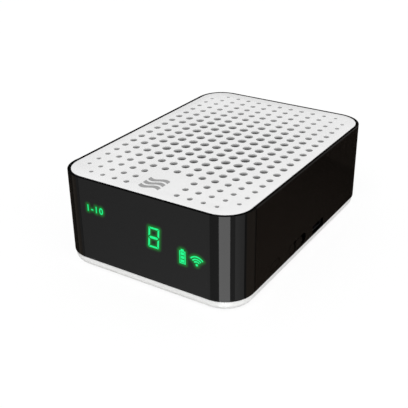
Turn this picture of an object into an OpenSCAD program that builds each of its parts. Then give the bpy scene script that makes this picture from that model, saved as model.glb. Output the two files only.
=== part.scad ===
// Table-top air quality monitor: a black sleeve with a smoked front that wraps both front
// corners, a white perforated top and a white base. Inside are a particle sensor with its fan,
// a battery, a radio board and a lit display. Millimetres, +Z up, the front faces -Y, and the
// origin lies under the feet, midway between the sides.

/* [Top plate] */
// Width of the white top plate
plate_w = 70; // [67:1:80]
// Depth of the white top plate
plate_d = 100; // [97:1:115]
// Thickness of the white top plate
plate_t = 1.2; // [1:0.1:2]
// Gap between the plate and the rim round it
plate_gap = 0.05; // [0.03:0.01:0.2]
// Distance between neighbouring holes
hole_pitch = 5; // [4.5:0.25:7]
// Distance from the plate's edge to the outer rows of holes
hole_margin = 5; // [4.4:0.2:8]
// Diameter of the holes in the middle of the plate
hole_max = 3.15; // [2.6:0.05:3.6]
// Diameter of the smallest holes
hole_min = 1.2; // [1:0.1:1.6]
// How much smaller each row gets outside the middle field
hole_step = 0.23; // [0.1:0.01:0.3]
// Rows on each side of the centre that keep the full diameter
hole_level = 3; // [1:1:5]
// Rows left out at the front of the plate for the bare place
bare_rows = 3; // [1:1:4]
// Diameter of the pegs that fix the plate
peg_d = 1.6; // [1.2:0.1:2]
// Gap round each peg
peg_gap = 0.1; // [0.05:0.05:0.2]
// Distance between the pegs along a long side
peg_span = 50; // [30:5:70]
// Distance between the pegs along a short side
peg_span_short = 30; // [20:5:44]
// Thickness of the filter sheet
filter_t = 0.8; // [0.5:0.1:1.2]
// Gap round the filter sheet
filter_gap = 0.3; // [0.1:0.1:0.6]

/* [Sleeve] */
// Black rim round the top plate; the front panel takes its place in front and is as thick
rim_w = 1.1; // [0.9:0.1:1.6]
// Outer corner radius, seen from above
corner_r = 10.75; // [10.5:0.25:12]
// Height of the sleeve
shell_h = 30.75; // [30:0.25:40]
// Wall of the sleeve
wall = 2.2; // [2:0.1:2.6]
// Round on the upper outer edge
edge_r = 0.2; // [0.2:0.1:0.8]
// Width of the shelf under the plate
shelf_w = 3.6; // [3:0.1:3.8]
// Thickness of the shelf under the plate
shelf_t = 1.5; // [1:0.1:2]
// Diameter of the corner bosses for the case screws
boss_d = 6; // [5:0.2:6.6]
// Height of the corner bosses
boss_h = 10; // [9:0.5:11]
// Space between a corner boss and the inner corner
boss_gap = 0.2; // [0.1:0.1:0.5]
// Width of the web that ties a boss to the corner
web_t = 2; // [1.2:0.2:3]

/* [Front panel] */
// How far the panel reaches back along the sides
wrap_d = 11.6; // [10:0.2:14]
// Gap at the panel's upright edges
seam_gap = 0.15; // [0.05:0.05:0.3]
// Gap between the panel and the wall behind it
panel_gap = 0.05; // [0.02:0.01:0.2]
// Distance from the display window to where the front's corners begin
window_edge = 0.3; // [0.2:0.1:1.5]
// Height of the display window
window_h = 20; // [19:0.5:22]
// Height of the window above the sleeve's lower edge
window_rise = 4.5; // [3.5:0.25:5]

/* [Base] */
// Height of the white base
base_h = 3.9; // [3.6:0.1:5]
// How far the base stands in from the sleeve
base_inset = 0.4; // [0.2:0.1:0.8]
// Round on the lower edge of the base
base_r = 2.5; // [1.5:0.1:2.8]
// Wall of the base
base_wall = 2; // [1.6:0.1:2.4]
// Thickness of the base's floor
floor_t = 2; // [1.8:0.1:2.1]
// Thickness of the lip that centres the sleeve
lip_t = 1.2; // [0.8:0.1:1.3]
// Height of the lip above the base's upper edge
lip_h = 2.5; // [1:0.25:3]
// Gap between the lip and the sleeve
lip_gap = 0.1; // [0.05:0.05:0.3]
// Diameter of the rubber feet
foot_d = 9; // [7:0.5:10]
// Height of the rubber feet
foot_h = 1.6; // [1.4:0.1:1.7]
// How far the feet stand below the base
foot_proud = 0.6; // [0.5:0.1:0.8]
// Distance from the base's edges to the middle of the feet
foot_inset = 12; // [11.5:0.5:16]
// Gap round each foot
foot_gap = 0.1; // [0.05:0.05:0.2]

/* [Case screws] */
// Diameter of the case screws
screw_d = 2.2; // [2:0.1:2.6]
// Length of a case screw under its head
screw_l = 8; // [7:0.5:9]
// Diameter of a case screw's head
screw_head_d = 3.8; // [3.4:0.1:4]
// Height of a case screw's head
screw_head_h = 1.3; // [1:0.1:1.4]
// Depth of the recess that hides the head
screw_sink = 1.6; // [1.4:0.1:1.8]
// Length of the cross in a screw's head
cross_l = 2.2; // [1.6:0.1:2.6]
// Width of the cross in a screw's head
cross_w = 0.6; // [0.4:0.1:0.8]
// Gap round a screw in its hole
screw_gap = 0.1; // [0.05:0.05:0.2]
// Gap round a screw in its thread
thread_gap = 0.05; // [0.02:0.01:0.1]

/* [Main board] */
// Thickness of the main board
board_t = 1.2; // [1:0.1:1.6]
// Space between the board's sides and the sleeve
board_gap = 2; // [1.8:0.1:2.4]
// Space between the board's rear edge and the sleeve
board_rear = 10; // [9:0.5:11]
// Space between the display board and the main board
board_front = 3.2; // [2.4:0.2:4]
// Height of the standoffs
standoff_h = 1.5; // [1.2:0.1:1.8]
// Diameter of the standoffs
standoff_d = 5; // [4.4:0.2:6]
// Distance of the standoffs from the board's edges
standoff_inset = 4.2; // [3.6:0.2:4.6]
// Diameter of the small screws
small_d = 1.9; // [1.6:0.1:2.2]
// Diameter of a small screw's head
small_head_d = 3.6; // [3:0.1:3.8]
// Height of a small screw's head
small_head_h = 1.3; // [1:0.1:1.6]
// Depth that a small screw reaches below its board
small_l = 2.6; // [2:0.1:2.8]
// Height of the chips on the board
chip_h = 1; // [0.6:0.1:1.6]
// Side of the chips on the board
chip_w = 4; // [3:0.5:4.5]
// Width of the radio module
radio_w = 18; // [14:0.5:18.5]
// Depth of the radio module
radio_d = 25.5; // [18:0.5:26]
// Thickness of the radio module's board
radio_t = 0.8; // [0.6:0.1:1.2]
// Height of the radio module's shield
shield_h = 2.3; // [1.5:0.1:3]
// Edge of the radio module that the shield leaves bare
shield_margin = 1.1; // [0.6:0.1:2]
// Length of the radio module's aerial end
aerial_d = 6.5; // [4:0.5:8]
// Space between the sensor and the radio module
radio_gap = 3; // [2.6:0.2:3.4]
// Space between the radio module and the slide switch
radio_side = 1.9; // [1.5:0.1:2.5]

/* [Charging socket] */
// Distance from the front face to the middle of the socket
usb_back = 59.65; // [58:0.25:61]
// Width of the metal socket
usb_w = 8.9; // [8.5:0.1:9.2]
// Height of the metal socket
usb_h = 2.9; // [2.7:0.1:3.2]
// Length of the metal socket
usb_l = 7.3; // [6.5:0.1:8]
// Sheet of the metal socket
usb_t = 0.3; // [0.2:0.05:0.4]
// Corner radius of the metal socket
usb_r = 0.9; // [0.6:0.1:1.2]
// How far the socket's mouth stands back from the side
usb_recess = 0.9; // [0.5:0.1:1.5]
// Gap between the socket and the opening in the side
usb_gap = 0.2; // [0.1:0.05:0.4]
// Corner radius of the opening in the side
mouth_r = 0.3; // [0.2:0.05:0.6]
// Width of the tongue in the socket
tongue_w = 6.7; // [6:0.1:7]
// Thickness of the tongue in the socket
tongue_t = 0.7; // [0.5:0.05:0.9]
// How far the tongue's end stands back from the mouth
tongue_recess = 0.8; // [0.4:0.1:1.5]
// Length of the block that carries the tongue
tongue_block = 2; // [1.5:0.1:2.5]
// Gap round the tongue's block
tongue_gap = 0.05; // [0.02:0.01:0.1]

/* [Push button] */
// Distance from the front face to the middle of the button
button_back = 25.1; // [24.6:0.25:27]
// Height of the button's middle above the sleeve's lower edge
button_rise = 3.25; // [3:0.05:3.6]
// Length of the button
button_l = 7; // [6:0.1:8]
// Height of the button
button_h = 2.75; // [2.4:0.05:3]
// Gap round the button and the knob
control_gap = 0.1; // [0.06:0.02:0.16]
// Travel of the button
button_travel = 0.4; // [0.25:0.05:0.5]
// How far the flanges reach behind the wall
flange_over = 0.8; // [0.5:0.1:0.9]
// Thickness of the flanges
flange_t = 0.8; // [0.6:0.1:1]
// Gap between the flanges and the wall
flange_gap = 0.1; // [0.05:0.05:0.15]
// Length of the stem behind the button
stem_l = 0.6; // [0.5:0.1:0.9]
// Diameter of the stem behind the button
stem_d = 2.2; // [1.8:0.1:2.6]
// Length of the tact switch
tact_l = 6; // [5:0.25:7]
// Depth of the tact switch
tact_d = 3; // [2.8:0.1:3.4]
// Height of the tact switch
tact_h = 4; // [3.8:0.1:4.4]
// Diameter of the tact switch's plunger
plunger_d = 2; // [1.6:0.1:2.2]
// How far the plunger stands out of its switch
plunger_out = 1; // [0.9:0.05:1.2]
// Length of the plunger inside its switch
plunger_in = 1.2; // [0.8:0.1:1.4]
// Gap round the plunger
plunger_gap = 0.1; // [0.06:0.02:0.2]

/* [Slide switch] */
// Distance from the front face to the middle of the slot
slot_back = 42.2; // [41:0.25:43]
// Height of the slot's middle above the sleeve's lower edge
slot_rise = 2.95; // [2.9:0.05:3.2]
// Length of the slot
slot_l = 13.8; // [12:0.2:14.4]
// Height of the slot
slot_h = 3.8; // [3.4:0.1:3.9]
// Travel of the knob
slot_travel = 2.75; // [2:0.25:3]
// Width of the ridge on the knob
ridge_w = 1; // [0.4:0.1:1.2]
// How far the ridge stands out of the side
ridge_out = 0.25; // [0.2:0.05:0.8]
// Length of the switch body
switch_l = 9; // [8.5:0.25:10]
// Depth of the switch body
switch_d = 3.8; // [3.6:0.1:4.2]
// Height of the switch body
switch_h = 4.2; // [3.8:0.1:5]
// Space between the knob's flange and the switch body
switch_gap = 0.8; // [0.5:0.1:1]
// Length of the lever along the slot
lever_l = 1.5; // [1.2:0.1:2]
// Height of the lever
lever_h = 1.2; // [1:0.1:1.4]
// Length of the lever inside the switch body
lever_in = 2.2; // [1.6:0.1:2.6]
// Length of the lever inside the knob
lever_out = 1.2; // [1:0.1:1.6]
// Gap round the lever
lever_gap = 0.1; // [0.05:0.05:0.2]

/* [Display] */
// Thickness of the display board
display_t = 1.2; // [1:0.1:1.6]
// Length of the posts that carry the display board
post_l = 6.5; // [6:0.1:7]
// Diameter of the posts
post_d = 4; // [3.6:0.1:4.4]
// Space between the display window and the posts
post_gap = 0.3; // [0.2:0.1:0.6]
// Height of the lower posts above the sleeve's lower edge
post_low = 13.7; // [13.5:0.1:14.5]
// Height of the upper posts above the sleeve's lower edge
post_high = 22.5; // [20:0.5:24]
// Space between the display board and the corner bosses
display_side = 1.65; // [1:0.05:3]
// Space between the main board and the display board's lower edge
display_rise = 0.6; // [0.4:0.1:1]
// Edge of the display board round its posts
display_margin = 2.3; // [2:0.1:2.5]
// Thickness of the printed film behind the panel
film_t = 0.2; // [0.1:0.05:0.3]
// Gap round the light mask in its window
mask_gap = 0.2; // [0.1:0.05:0.4]
// Height of the lamp module
digit_module_h = 14; // [12:0.5:15]
// Depth of the lamp module
digit_module_t = 6.6; // [5.5:0.1:7]
// Distance between neighbouring digits
digit_pitch = 7.5; // [7:0.25:8]
// Place of the middle digit across the front
digit_x = -2.5; // [-4:0.25:0]
// Height of the digits' middle above the sleeve's lower edge
digit_rise = 16.6; // [15.5:0.1:16.7]
// Height of a digit
digit_h = 8.2; // [7:0.1:9.5]
// Width of a digit
digit_w = 4.7; // [4:0.1:5.4]
// Width of a digit's strokes
stroke_w = 0.9; // [0.6:0.05:1]
// Depth of the light strokes
stroke_t = 0.4; // [0.2:0.1:0.8]
// Gap round the light strokes and in the lamp wells
stroke_gap = 0.05; // [0.02:0.01:0.1]
// Distance from the window's left edge to the middle of the label
label_in = 5.95; // [5:0.05:6.5]
// Height of the well behind the label above the sleeve's lower edge
label_rise = 20.1; // [19.5:0.1:20.8]
// Width of the well behind the label
label_w = 8.4; // [7:0.2:9]
// Height of the well behind the label
label_h = 5; // [4:0.25:6]
// Height of the wells behind the two signs above the sleeve's lower edge
sign_rise = 13; // [12:0.1:14]
// Height of the wells behind the two signs
sign_h = 7.4; // [6:0.2:8]
// Distance between the middles of the battery sign and the radio sign
sign_pitch = 5.5; // [5.4:0.1:6.5]
// Width of the well behind the battery sign
battery_sign_w = 3.8; // [3:0.1:4]
// Distance from the window's right edge to the middle of the radio sign
radio_sign_in = 3.65; // [3.1:0.05:4]
// Width of the well behind the radio sign
radio_sign_w = 4.9; // [4.6:0.1:5]
// Length of a lamp behind a sign
lamp_l = 1.6; // [1:0.1:2]
// Width of a lamp behind a sign
lamp_w = 0.8; // [0.5:0.1:1]
// Height of a lamp behind a sign
lamp_t = 0.7; // [0.4:0.1:1]
// Number of pins between the two boards
header_pins = 8; // [4:1:10]
// Distance between the pins
header_pitch = 2.54; // [2:0.02:2.54]
// Side of the header strip
header_w = 2.5; // [2:0.1:2.6]
// Side of a pin
pin_w = 0.64; // [0.5:0.02:0.7]

/* [Particle sensor] */
// Depth of the sensor
sensor_d = 42; // [40:0.5:43]
// Height of the sensor's case
sensor_h = 12.5; // [11.5:0.5:14]
// Thickness of the sensor's cover
cover_t = 1.5; // [1:0.1:2]
// Floor of the sensor's case
sensor_floor = 1.5; // [1:0.1:2]
// Space between the sensor and the sleeve
sensor_gap = 3.4; // [3:0.1:3.6]
// Space between the sensor and the main board's front edge
sensor_front = 7.5; // [7:0.25:8]
// Height of the sensor's legs
leg_h = 2.5; // [2:0.1:3]
// Diameter of the sensor's legs
leg_d = 4; // [3.5:0.1:4.5]
// Diameter of the pegs below the legs
leg_peg_d = 1.8; // [1.4:0.1:2]
// Width of the air channel
channel_w = 8; // [7:0.25:9]
// Width of the bars in the sensor's cover
cover_bar = 1.5; // [1:0.1:2]
// Number of inlet slots in the sensor's cover
cover_slots = 3; // [2:1:4]
// Distance of the sensor's pin strip from its front edge
strip_y = 10.5; // [9:0.5:14]
// Width of the sensor's pin strip
strip_w = 10; // [8:0.5:12]
// Depth of the sensor's pin strip
strip_d = 4; // [3:0.5:5]
// Wall between the fan's chamber and the sensor's right side
fan_wall = 1.2; // [1:0.1:2]
// Wall between the fan's chamber and the sensor's back
fan_rear = 1.8; // [1:0.1:2.5]
// Diameter of the fan
fan_d = 19.6; // [18:0.2:20]
// Gap round the fan
fan_gap = 1; // [0.8:0.1:1.2]
// Number of fan blades
fan_blades = 7; // [5:1:9]
// Height of the fan
fan_h = 7; // [6:0.25:8]
// Diameter of the fan's hub
hub_d = 10.6; // [10:0.2:11.4]
// Wall of the fan's hub
hub_t = 0.7; // [0.5:0.1:0.9]
// Thickness of the fan's hub at its top
hub_top = 1.5; // [1:0.1:2]
// Thickness of a fan blade
blade_t = 0.8; // [0.6:0.1:1]
// Lean of the blades away from the radius
blade_lean = 35; // [0:5:45]
// Diameter of the fan's shaft
shaft_d = 1.5; // [1.2:0.1:2]
// Diameter of the sleeve that runs on the shaft
sleeve_d = 4.5; // [3.5:0.25:6]
// Running gap round the fan's shaft
shaft_gap = 0.03; // [0.02:0.01:0.05]
// Height of the fan's coils
coil_h = 3; // [2:0.25:4]
// Gap between the fan and the coils
coil_gap = 0.35; // [0.3:0.05:0.5]
// Space under the fan
fan_rise = 0.6; // [0.4:0.1:0.8]
// Diameter of the laser
laser_d = 5.6; // [5:0.1:6]
// Length of the laser
laser_l = 11; // [9:0.5:12]
// Gap round the laser
laser_gap = 0.1; // [0.05:0.05:0.2]
// Diameter of the hole for the beam
beam_d = 2; // [1.2:0.1:3]
// Side of the detector
photodiode_w = 3; // [2.4:0.1:3.4]
// Height of the detector
photodiode_h = 1; // [0.6:0.1:1.2]
// Thickness of the detector's board
detector_t = 0.8; // [0.6:0.1:1]

/* [Battery] */
// Space between the cell and the board's screws beside it
cell_side = 1.9; // [1.5:0.1:4]
// Space between the cell and the back of the sleeve
cell_rear = 10.9; // [10:0.1:14]
// Thickness of the cell
cell_t = 8; // [6:0.25:10]
// Round on the long edges of the cell
cell_r = 2; // [1:0.25:2.8]
// Space between the sensor and the cell
cell_gap = 2.5; // [2:0.1:3]
// Thickness of the pad under the cell
pad_t = 0.6; // [0.4:0.1:1]
// Edge of the cell that the pad leaves bare
pad_margin = 2; // [1.5:0.25:4]
// Width of the battery socket
plug_w = 6; // [5:0.25:7]
// Height of the battery socket
plug_h = 4.5; // [4:0.25:6]
// Depth of the battery socket
plug_d = 5; // [4:0.25:5.5]
// Space between the battery socket and the cell
plug_gap = 6.5; // [6:0.25:8]
// Diameter of the battery leads
lead_d = 1.3; // [1:0.1:1.6]
// Distance between the battery leads
lead_pitch = 2; // [1.8:0.1:2.5]

/* [Hidden] */
$fn = 64;
over = 1;
sink = 0.3;

// Outer sizes and heights
shell_w = plate_w + 2 * rim_w;
shell_d = plate_d + 2 * rim_w;
base_top = foot_proud + base_h;
shell_top = base_top + shell_h;
shelf_z = shell_top - plate_t;
floor_z = foot_proud + floor_t;

// Inner half sizes, and the centres of the corner arcs
in_x = shell_w / 2 - wall;
in_y = shell_d / 2 - wall;
arc_x = shell_w / 2 - corner_r;
arc_y = shell_d / 2 - corner_r;

// Rows of holes on each side of the plate's centre
cols = floor((plate_w / 2 - hole_margin) / hole_pitch);
rows = floor((plate_d / 2 - hole_margin) / hole_pitch);

// Corner bosses and feet
boss_off = (corner_r - wall - boss_d / 2 - boss_gap) / sqrt(2);
boss_x = arc_x + boss_off;
boss_y = arc_y + boss_off;
foot_x = shell_w / 2 - base_inset - foot_inset;
foot_y = shell_d / 2 - base_inset - foot_inset;
screw_seat = foot_proud + screw_sink;

// Display stack, from the panel backwards
recess_d = rim_w + panel_gap;
panel_back = -shell_d / 2 + recess_d;
film_back = panel_back + film_t;
display_y = -in_y + post_l;
display_back = display_y + display_t;
window_w = 2 * (arc_x - window_edge);
window_z = base_top + window_rise;
digit_z = base_top + digit_rise;
post_x = window_w / 2 + post_gap + post_d / 2;
post_z = [base_top + post_low, base_top + post_high];
display_w = 2 * (boss_x - boss_d / 2 - display_side);
label_x = -window_w / 2 + label_in;
radio_sign_x = window_w / 2 - radio_sign_in;
battery_sign_x = radio_sign_x - sign_pitch;
digit_module_w = 3 * digit_pitch;
icon_wells = [
    [label_x, base_top + label_rise, label_w, label_h],
    [battery_sign_x, base_top + sign_rise, battery_sign_w, sign_h],
    [radio_sign_x, base_top + sign_rise, radio_sign_w, sign_h]
];

// Main board
board_bottom = floor_z + standoff_h;
board_top = board_bottom + board_t;
board_x = in_x - board_gap;
board_y0 = display_back + board_front;
board_y1 = in_y - board_rear;
standoff_x = board_x - standoff_inset;
standoff_y = [board_y0 + standoff_inset, board_y1 - standoff_inset];

// Controls and socket on the right side
button_y = -shell_d / 2 + button_back;
slot_y = -shell_d / 2 + slot_back;
usb_y = -shell_d / 2 + usb_back;
button_z = base_top + button_rise;
slot_z = base_top + slot_rise;
usb_x = shell_w / 2 - usb_recess;
usb_z = board_top + usb_h / 2;
flange_x = in_x - flange_gap - flange_t;
tact_x = flange_x - stem_l - plunger_out;
knob_l = slot_l - slot_travel - 2 * control_gap;
knob_y = slot_y - slot_travel / 2;
switch_x = flange_x - switch_gap;
lip_cut_y0 = button_y - button_l / 2 - flange_over - over;
lip_cut_y1 = usb_y + usb_w / 2 + usb_gap + over;

// Radio module beside the slide switch
radio_x = switch_x - switch_d - radio_side - radio_w / 2;
radio_y = board_y0 + sensor_front + radio_d / 2;

// Particle sensor
sensor_right = radio_x - radio_w / 2 - radio_gap;
sensor_w = sensor_right + in_x - sensor_gap;
sensor_x = sensor_right - sensor_w / 2;
sensor_y = board_y0 + sensor_front + sensor_d / 2;
sensor_z = board_top + leg_h;
sensor_in = sensor_z + sensor_floor;
leg_x = sensor_w / 2 - leg_d / 2;
leg_y = sensor_d / 2 - leg_d / 2;
chamber_d = fan_d + 2 * fan_gap;
fan_x = sensor_right - fan_wall - chamber_d / 2;
fan_y = sensor_y + sensor_d / 2 - fan_rear - chamber_d / 2;
channel_x = sensor_x - sensor_w / 2 + channel_w;
laser_y = sensor_y - sensor_d / 2 + channel_w;
laser_x = channel_x + channel_w;
laser_z = sensor_in + laser_d / 2;
fan_z = sensor_in + fan_rise;

// Battery
cell_l = 2 * (standoff_x - small_head_d / 2 - cell_side);
cell_w = in_y - cell_rear - sensor_y - sensor_d / 2 - cell_gap;
cell_y = in_y - cell_rear - cell_w / 2;
cell_z = board_top + pad_t;
plug_y = cell_y - cell_w / 2 - plug_gap - plug_d / 2;
lead_z = board_top + plug_h / 2;

// Diameter of the hole in column i and row j: full in the middle field, then less by one
// step for each row that it lies outside that field, both ways
function hole_dia(i, j) =
    max(hole_min, hole_max - hole_step * (max(abs(i) - hole_level, 0) + max(abs(j) - hole_level, 0)));

// True where the pattern has a hole: not at the four corners, nor in the bare place in front
function has_hole(i, j) =
    !(abs(i) == cols && abs(j) == rows) && !(abs(i) <= 1 && j < bare_rows - rows);

// Rectangle with round corners
module rounded_rect(w, d, r) {
    square([w - 2 * r, d], center = true);
    square([w, d - 2 * r], center = true);
    for (i = [-1, 1], j = [-1, 1])
        translate([i * (w / 2 - r), j * (d / 2 - r)])
            circle(r);
}

// Slot with round ends
module stadium(l, h) {
    square([l - h, h], center = true);
    for (i = [-1, 1])
        translate([i * (l - h) / 2, 0])
            circle(d = h);
}

// Children at the four places (x, y), (-x, y), (x, -y) and (-x, -y)
module at_corners(x, y) {
    for (i = [-1, 1], j = [-1, 1])
        translate([i * x, j * y, 0])
            children();
}

// Carries a flat section once round the housing; the section's x runs outwards from the
// centre of the corner arcs and its y is the height
module round_the_housing() {
    for (i = [0, 1]) {
        mirror([i, 0, 0])
            translate([arc_x, 0, 0])
                rotate([90, 0, 0])
                    linear_extrude(2 * arc_y, center = true)
                        children();
        mirror([0, i, 0])
            translate([0, arc_y, 0])
                rotate([90, 0, 90])
                    linear_extrude(2 * arc_x, center = true)
                        children();
        for (j = [0, 1])
            mirror([i, 0, 0])
                mirror([0, j, 0])
                    translate([arc_x, arc_y, 0])
                        rotate_extrude(angle = 90)
                            children();
    }
}

// Flat shape stood up facing +X, drawn as y across and z up, from x0 to x1
module facing_side(x0, x1, y, z) {
    translate([x0, y, z])
        rotate([90, 0, 90])
            linear_extrude(x1 - x0)
                children();
}

// Flat shape stood up facing the front, drawn as x across and z up, from y0 back to y1
module facing_front(y0, y1, x, z) {
    translate([x, y1, z])
        rotate([90, 0, 0])
            linear_extrude(y1 - y0)
                children();
}

// Box between two opposite corners
module box_between(a, b) {
    translate(a)
        cube(b - a);
}

// Plan of the wrapped front, outside a line set in from the sleeve's outline
module front_wrap(inset, gap) {
    intersection() {
        difference() {
            square([shell_w + 2 * over, shell_d + 2 * over], center = true);
            rounded_rect(shell_w - 2 * inset, shell_d - 2 * inset, corner_r - inset);
        }
        translate([-shell_w / 2 - over, -shell_d / 2 - over])
            square([shell_w + 2 * over, wrap_d - gap + over]);
    }
}

// Section of the sleeve: wall, shelf under the plate, and rim with its rounded edge
module shell_section() {
    translate([corner_r - wall, base_top])
        square([wall, shelf_z - base_top]);
    translate([corner_r - rim_w - shelf_w, shelf_z - shelf_t])
        square([shelf_w + rim_w, shelf_t]);
    translate([corner_r - rim_w, shelf_z - shelf_t])
        square([rim_w, shelf_t + plate_t - edge_r]);
    translate([corner_r - rim_w, shelf_z - shelf_t])
        square([rim_w - edge_r, shelf_t + plate_t]);
    translate([corner_r - edge_r, shell_top - edge_r])
        circle(edge_r);
}

// Middles of the pegs under the top plate
module at_pegs() {
    at_corners(plate_w / 2 - shelf_w / 2, peg_span / 2)
        children();
    at_corners(peg_span_short / 2, plate_d / 2 - shelf_w / 2)
        children();
}

// Black sleeve with its shelf, screw bosses, display posts and side openings
module outer_shell() {
    color("#1a1715")
    difference() {
        union() {
            round_the_housing()
                shell_section();
            for (i = [-1, 1], j = [-1, 1])
                translate([i * boss_x, j * boss_y, base_top])
                    rotate([0, 0, atan2(j, i)]) {
                        cylinder(d = boss_d, h = boss_h);
                        translate([0, -web_t / 2, 0])
                            cube([boss_d / 2 + boss_gap + sink, web_t, boss_h]);
                    }
            for (i = [-1, 1], z = post_z)
                translate([i * post_x, -in_y - sink, z])
                    rotate([-90, 0, 0])
                        cylinder(d = post_d, h = post_l + sink);
        }
        translate([0, 0, base_top - over])
            linear_extrude(shell_h + 2 * over)
                front_wrap(recess_d, 0);
        facing_front(-shell_d / 2, -in_y + over, 0, window_z + window_h / 2)
            square([window_w, window_h], center = true);
        facing_side(in_x - over, shell_w / 2 + over, button_y, button_z)
            stadium(button_l + 2 * control_gap, button_h + 2 * control_gap);
        facing_side(in_x - over, shell_w / 2 + over, slot_y, slot_z)
            stadium(slot_l, slot_h);
        facing_side(in_x - over, shell_w / 2 + over, usb_y, usb_z)
            rounded_rect(usb_w + 2 * usb_gap, usb_h + 2 * usb_gap, mouth_r);
        translate([0, 0, base_top - over])
            at_corners(boss_x, boss_y)
                cylinder(d = screw_d + 2 * thread_gap, h = screw_seat + screw_l - base_top + 2 * over);
        for (i = [-1, 1], z = post_z)
            translate([i * post_x, display_y - small_l - sink, z])
                rotate([-90, 0, 0])
                    cylinder(d = small_d + 2 * thread_gap, h = small_l + sink + over);
        translate([0, 0, shelf_z - shelf_t - over])
            at_pegs()
                cylinder(d = peg_d + 2 * peg_gap, h = shelf_t + 2 * over);
    }
}

// Smoked panel as high as the sleeve, flush with it and wrapped round both front corners
module front_panel() {
    color("#272727")
    translate([0, 0, base_top])
        linear_extrude(shell_h)
            intersection() {
                rounded_rect(shell_w, shell_d, corner_r);
                front_wrap(rim_w, seam_gap);
            }
}

// White top plate with its graded holes and the pegs that fix it
module top_grille() {
    color("#ebebeb") {
        translate([0, 0, shelf_z])
            linear_extrude(plate_t)
                difference() {
                    rounded_rect(plate_w - 2 * plate_gap, plate_d - 2 * plate_gap,
                        corner_r - rim_w - plate_gap);
                    for (i = [-cols:cols], j = [-rows:rows])
                        if (has_hole(i, j))
                            translate([i * hole_pitch, j * hole_pitch])
                                circle(d = hole_dia(i, j));
                }
        translate([0, 0, shelf_z - shelf_t])
            at_pegs()
                cylinder(d = peg_d, h = shelf_t + plate_t / 2);
    }
}

// Dark filter sheet stuck under the plate, inside the shelf
module dust_filter() {
    color("#3a3a3a")
    translate([0, 0, shelf_z - filter_t])
        linear_extrude(filter_t)
            rounded_rect(plate_w - 2 * (shelf_w + filter_gap), plate_d - 2 * (shelf_w + filter_gap),
                corner_r - rim_w - shelf_w - filter_gap);
}

// Section of the base: floor edge, rounded lower edge and wall
module base_section() {
    outer = corner_r - base_inset;
    square_from = foot_proud + base_r;
    translate([0, foot_proud])
        square([outer - base_r, floor_t]);
    translate([outer - base_wall, square_from])
        square([base_wall, base_top - square_from]);
    intersection() {
        translate([outer - base_r, square_from])
            circle(base_r);
        translate([outer - base_r, foot_proud])
            square(base_r);
    }
}

// Lip along one straight side of the base, between two points
module lip(x0, y0, x1, y1) {
    box_between([x0, y0, floor_z - sink], [x1, y1, base_top + lip_h]);
}

// White base with its lip, screw pads, standoffs and places for the feet
module base_tray() {
    lip_x = in_x - lip_gap;
    lip_y = in_y - lip_gap;
    end_x = arc_x - over;
    end_y = arc_y - over;
    color("#e8e8e6")
    difference() {
        union() {
            round_the_housing()
                base_section();
            box_between([-arc_x, -arc_y, foot_proud], [arc_x, arc_y, floor_z]);
            lip(-lip_x, -end_y, -lip_x + lip_t, end_y);
            lip(lip_x - lip_t, -end_y, lip_x, lip_cut_y0);
            lip(lip_x - lip_t, lip_cut_y1, lip_x, end_y);
            lip(-end_x, -lip_y, end_x, -lip_y + lip_t);
            lip(-end_x, lip_y - lip_t, end_x, lip_y);
            translate([0, 0, floor_z - sink])
                at_corners(boss_x, boss_y)
                    cylinder(d = boss_d + 2 * sink, h = base_top - floor_z + sink);
            for (i = [-1, 1], y = standoff_y)
                translate([i * standoff_x, y, floor_z - sink])
                    cylinder(d = standoff_d, h = standoff_h + sink);
        }
        at_corners(boss_x, boss_y) {
            cylinder(d = screw_d + 2 * screw_gap, h = base_top + over);
            translate([0, 0, -over])
                cylinder(d = screw_head_d + 2 * screw_gap, h = screw_seat + over);
        }
        at_corners(foot_x, foot_y)
            cylinder(d = foot_d + 2 * foot_gap, h = foot_h);
        for (i = [-1, 1], y = standoff_y)
            translate([i * standoff_x, y, board_bottom - small_l - sink])
                cylinder(d = small_d + 2 * thread_gap, h = small_l + sink + over);
    }
}

// Four rubber feet pressed into the base, with a narrower lower edge
module rubber_feet() {
    color("#2b2b2b")
    at_corners(foot_x, foot_y) {
        cylinder(d1 = foot_d - foot_proud, d2 = foot_d, h = foot_proud);
        translate([0, 0, foot_proud])
            cylinder(d = foot_d, h = foot_h - foot_proud);
    }
}

// Screw standing on its head: head below, shank above, with a cross in the head
module screw(d, l, head_d, head_h) {
    difference() {
        union() {
            translate([0, 0, -head_h])
                cylinder(d = head_d, h = head_h);
            cylinder(d = d, h = l);
        }
        for (a = [0, 90])
            rotate([0, 0, a])
                translate([0, 0, -head_h])
                    cube([cross_l, cross_w, head_h], center = true);
    }
}

// Four case screws, put in from below
module case_screws() {
    color("#8f9196")
    translate([0, 0, screw_seat])
        at_corners(boss_x, boss_y)
            screw(screw_d, screw_l, screw_head_d, screw_head_h);
}

// Main board with its screw holes and the holes for the sensor's pegs
module main_board() {
    color("#1f5a38")
    translate([0, 0, board_bottom])
        linear_extrude(board_t)
            difference() {
                translate([-board_x, board_y0])
                    square([2 * board_x, board_y1 - board_y0]);
                for (i = [-1, 1], y = standoff_y)
                    translate([i * standoff_x, y])
                        circle(d = small_d + 2 * screw_gap);
                translate([sensor_x, sensor_y])
                    at_corners(leg_x, leg_y)
                        circle(d = leg_peg_d + 2 * screw_gap);
            }
}

// Four screws that hold the main board on its standoffs
module board_screws() {
    color("#8f9196")
    for (i = [-1, 1], y = standoff_y)
        translate([i * standoff_x, y, board_top])
            mirror([0, 0, 1])
                screw(small_d, board_t + small_l, small_head_d, small_head_h);
}

// Charger, coil and regulator beside the battery socket
module board_chips() {
    color("#26282b")
    for (place = [[radio_x + radio_w / 2 - chip_w / 2, plug_y],
                  [radio_x - radio_w / 2 + chip_w / 2, plug_y]])
        translate([place.x - chip_w / 2, place.y - chip_w / 2, board_top])
            cube([chip_w, chip_w, chip_h]);
}

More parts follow.
